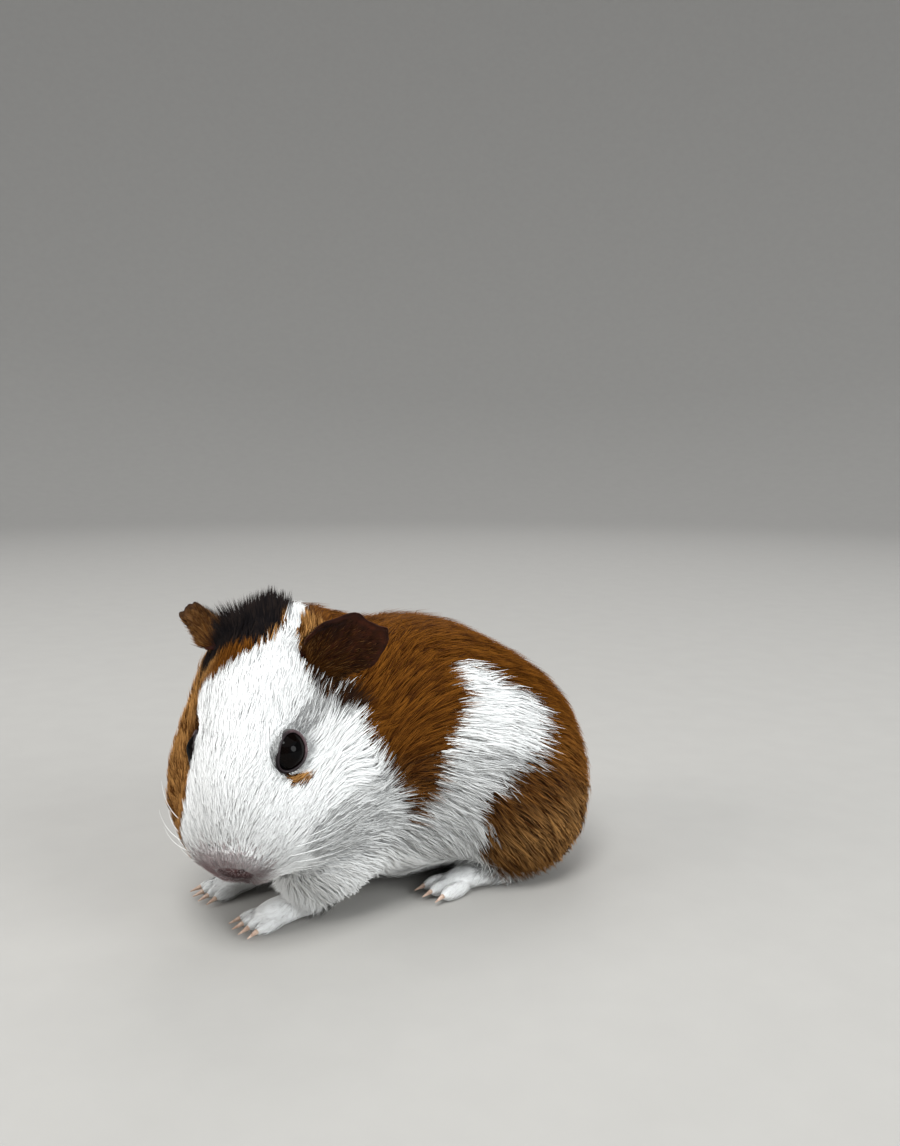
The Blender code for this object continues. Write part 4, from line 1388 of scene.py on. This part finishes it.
# Whiskers: path = root + length (s way + s^2 bend), thinning to the tip.
def makeWhiskers():
    rows, columns = (grid.ravel() for grid in np.meshgrid(
        np.arange(whiskerPlan["rows"]), np.arange(whiskerPlan["columns"]), indexing="ij"))
    luck = np.random.default_rng(5).random((4, 2, len(rows)))
    steps = np.linspace(0, 1, 12)
    reach = steps[None, :, None]
    shortest, longest = whiskerPlan["length"]
    at, apart, out, fan = (whiskerPlan[key] for key in ("at", "apart", "out", "fan"))
    paths = []
    for index, side in enumerate(eyeSides):
        start = onHead(np.stack([side * (at[0] + apart[0] * columns),
                                 at[1] - apart[1] * columns + luck[0, index],
                                 at[2] - apart[2] * rows + luck[1, index]], axis=-1))
        for _ in range(4):
            value, slope, _ = surface(start)
            start = start - slope * value[:, None]
        long = shortest + (longest - shortest) * luck[2, index] * (0.5 + 0.5 * columns / 4)
        way = alongHead(unit(np.stack([side * (out[0] + fan[0] * luck[3, index]),
                                       out[1] - fan[1] * columns, out[2] - fan[2] * rows], axis=-1)))
        bend = alongHead(np.array(whiskerPlan["bend"]) * (side, 1, 1))
        paths.append(start[:, None] + long[:, None, None] * (reach * way[:, None] + reach ** 2 * bend))
    paths = np.concatenate(paths)
    radii = np.tile(whiskerPlan["radius"] * (1 - 0.85 * steps), (len(paths), 1))
    ahead = unit(np.gradient(paths, axis=1))
    sides = unit(np.cross(ahead, np.array([0.1, 0.2, 1.0])))
    points, faceSets = sweptTubes(paths, sides, np.cross(sides, ahead), radii, 5)
    points[:, 2] = np.maximum(points[:, 2], 0.05)
    colours = {"ginger": 0, "black": 0, "pale": 0, "rosy": 0, "tone": 0.9, "along": 0.9}
    makePiece("whiskers", points, [faces[:, ::-1] for faces in faceSets],
              {key: np.full(len(points), float(number)) for key, number in colours.items()},
              finishes["fur"])


makeWhiskers()
print("whiskers made")

# the claws keep the part's own surfaces
for name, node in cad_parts.items():
    if name.startswith("claw"):
        for slotOfNode in node.material_slots:
            slotOfNode.material = finishes["claw"]
        if not node.material_slots:
            node.data.materials.append(finishes["claw"])

# the floor, in metres like the lights and the camera
stagePlan = {"radius": 3.2, "flat": 1.6, "height": 2.6, "colour": (0.37, 0.359, 0.342)}


# Studio bowl: flat to the flat radius, then height = H (1 - cos) of a quarter turn to the rim.
def makeStage():
    rows, around = 40, 72
    turn = np.arange(around) / around * 2 * np.pi
    share = np.linspace(0, 1, rows)[:, None]
    bend = np.clip((share - 0.5) * 2, 0, 1) * np.pi / 2
    radius = np.where(share <= 0.5, stagePlan["flat"] * share * 2 + 0.001,
                      stagePlan["flat"] + (stagePlan["radius"] - stagePlan["flat"]) * np.sin(bend))
    height = stagePlan["height"] * (1 - np.cos(bend))
    rings = np.stack([radius * np.cos(turn), radius * np.sin(turn), height + 0 * turn], axis=-1)
    places = np.concatenate([rings.reshape(-1, 3), [[0, 0, 0]]])
    material, tree, shader = newMaterial("studioPaper", 0.9, 0.2)
    colour = np.array(stagePlan["colour"])
    tree.links.new(addRamp(tree, addNoise(tree, 60, 4.0),
                           [(0.3, tuple(colour * 0.985)), (0.7, tuple(colour * 1.015))]),
                   shader.inputs["Base Color"])
    faceSets = [gridFaces(rows, around, True)[:, ::-1], fanFaces(0, around, len(places) - 1)]
    bowl = addMesh("studioBowl", places, faceSets, material, {})


lightPlan = {
    "key": {"at": (0.45, -0.50, 1.25), "size": 0.60, "watts": 14.5, "colour": (0.985, 1.0, 0.99)},
    "fill": {"at": (1.4, 0.5, 0.65), "size": 1.0, "watts": 19.0, "colour": (0.96, 0.99, 1.0)},
    "front": {"at": (-0.35, -1.2, 0.6), "size": 0.8, "watts": 9.0, "colour": (1.0, 0.99, 0.97)},
    "rim": {"at": (-0.9, 0.8, 1.3), "size": 0.9, "watts": 7.0, "colour": (1.0, 1.0, 1.0)},
}


# Turn that points a light or camera from one place to another.
def lookFrom(at, towards):
    return (Vector(towards) - Vector(at)).to_track_quat("-Z", "Y")


def makeLights():
    for name, plan in lightPlan.items():
        data = bpy.data.lights.new(name + "Light", "AREA")
        data.shape = "DISK"
        data.size = plan["size"]
        data.energy = plan["watts"]
        data.color = plan["colour"]
        light = addObject(name + "Light", data)
        light.location = plan["at"]
        light.rotation_euler = lookFrom(plan["at"], (0, 0, 0.04)).to_euler()
    world = bpy.data.worlds.new("studioAir")
    world.use_nodes = True
    background = world.node_tree.nodes["Background"]
    background.inputs["Color"].default_value = (0.93, 0.96, 1.0, 1)
    background.inputs["Strength"].default_value = 0.75
    bpy.context.scene.world = world


cameraPlan = {"at": (0.25239, -0.16172, 0.12317), "towards": (0.01335, 0.01636, 0.08925), "roll": 0.26,
              "lens": 33.19}


def makeCamera():
    data = bpy.data.cameras.new("studioCamera")
    data.lens = cameraPlan["lens"]
    data.clip_start = 0.01
    camera = addObject("studioCamera", data)
    camera.location = cameraPlan["at"]
    look = lookFrom(cameraPlan["at"], cameraPlan["towards"])
    camera.rotation_mode = "QUATERNION"
    camera.rotation_quaternion = look @ Quaternion((0, 0, 1), np.radians(cameraPlan["roll"]))
    bpy.context.scene.camera = camera


makeStage()
makeLights()
makeCamera()
bpy.context.scene.view_settings.view_transform = "Standard"
print("stage, lights and camera set")
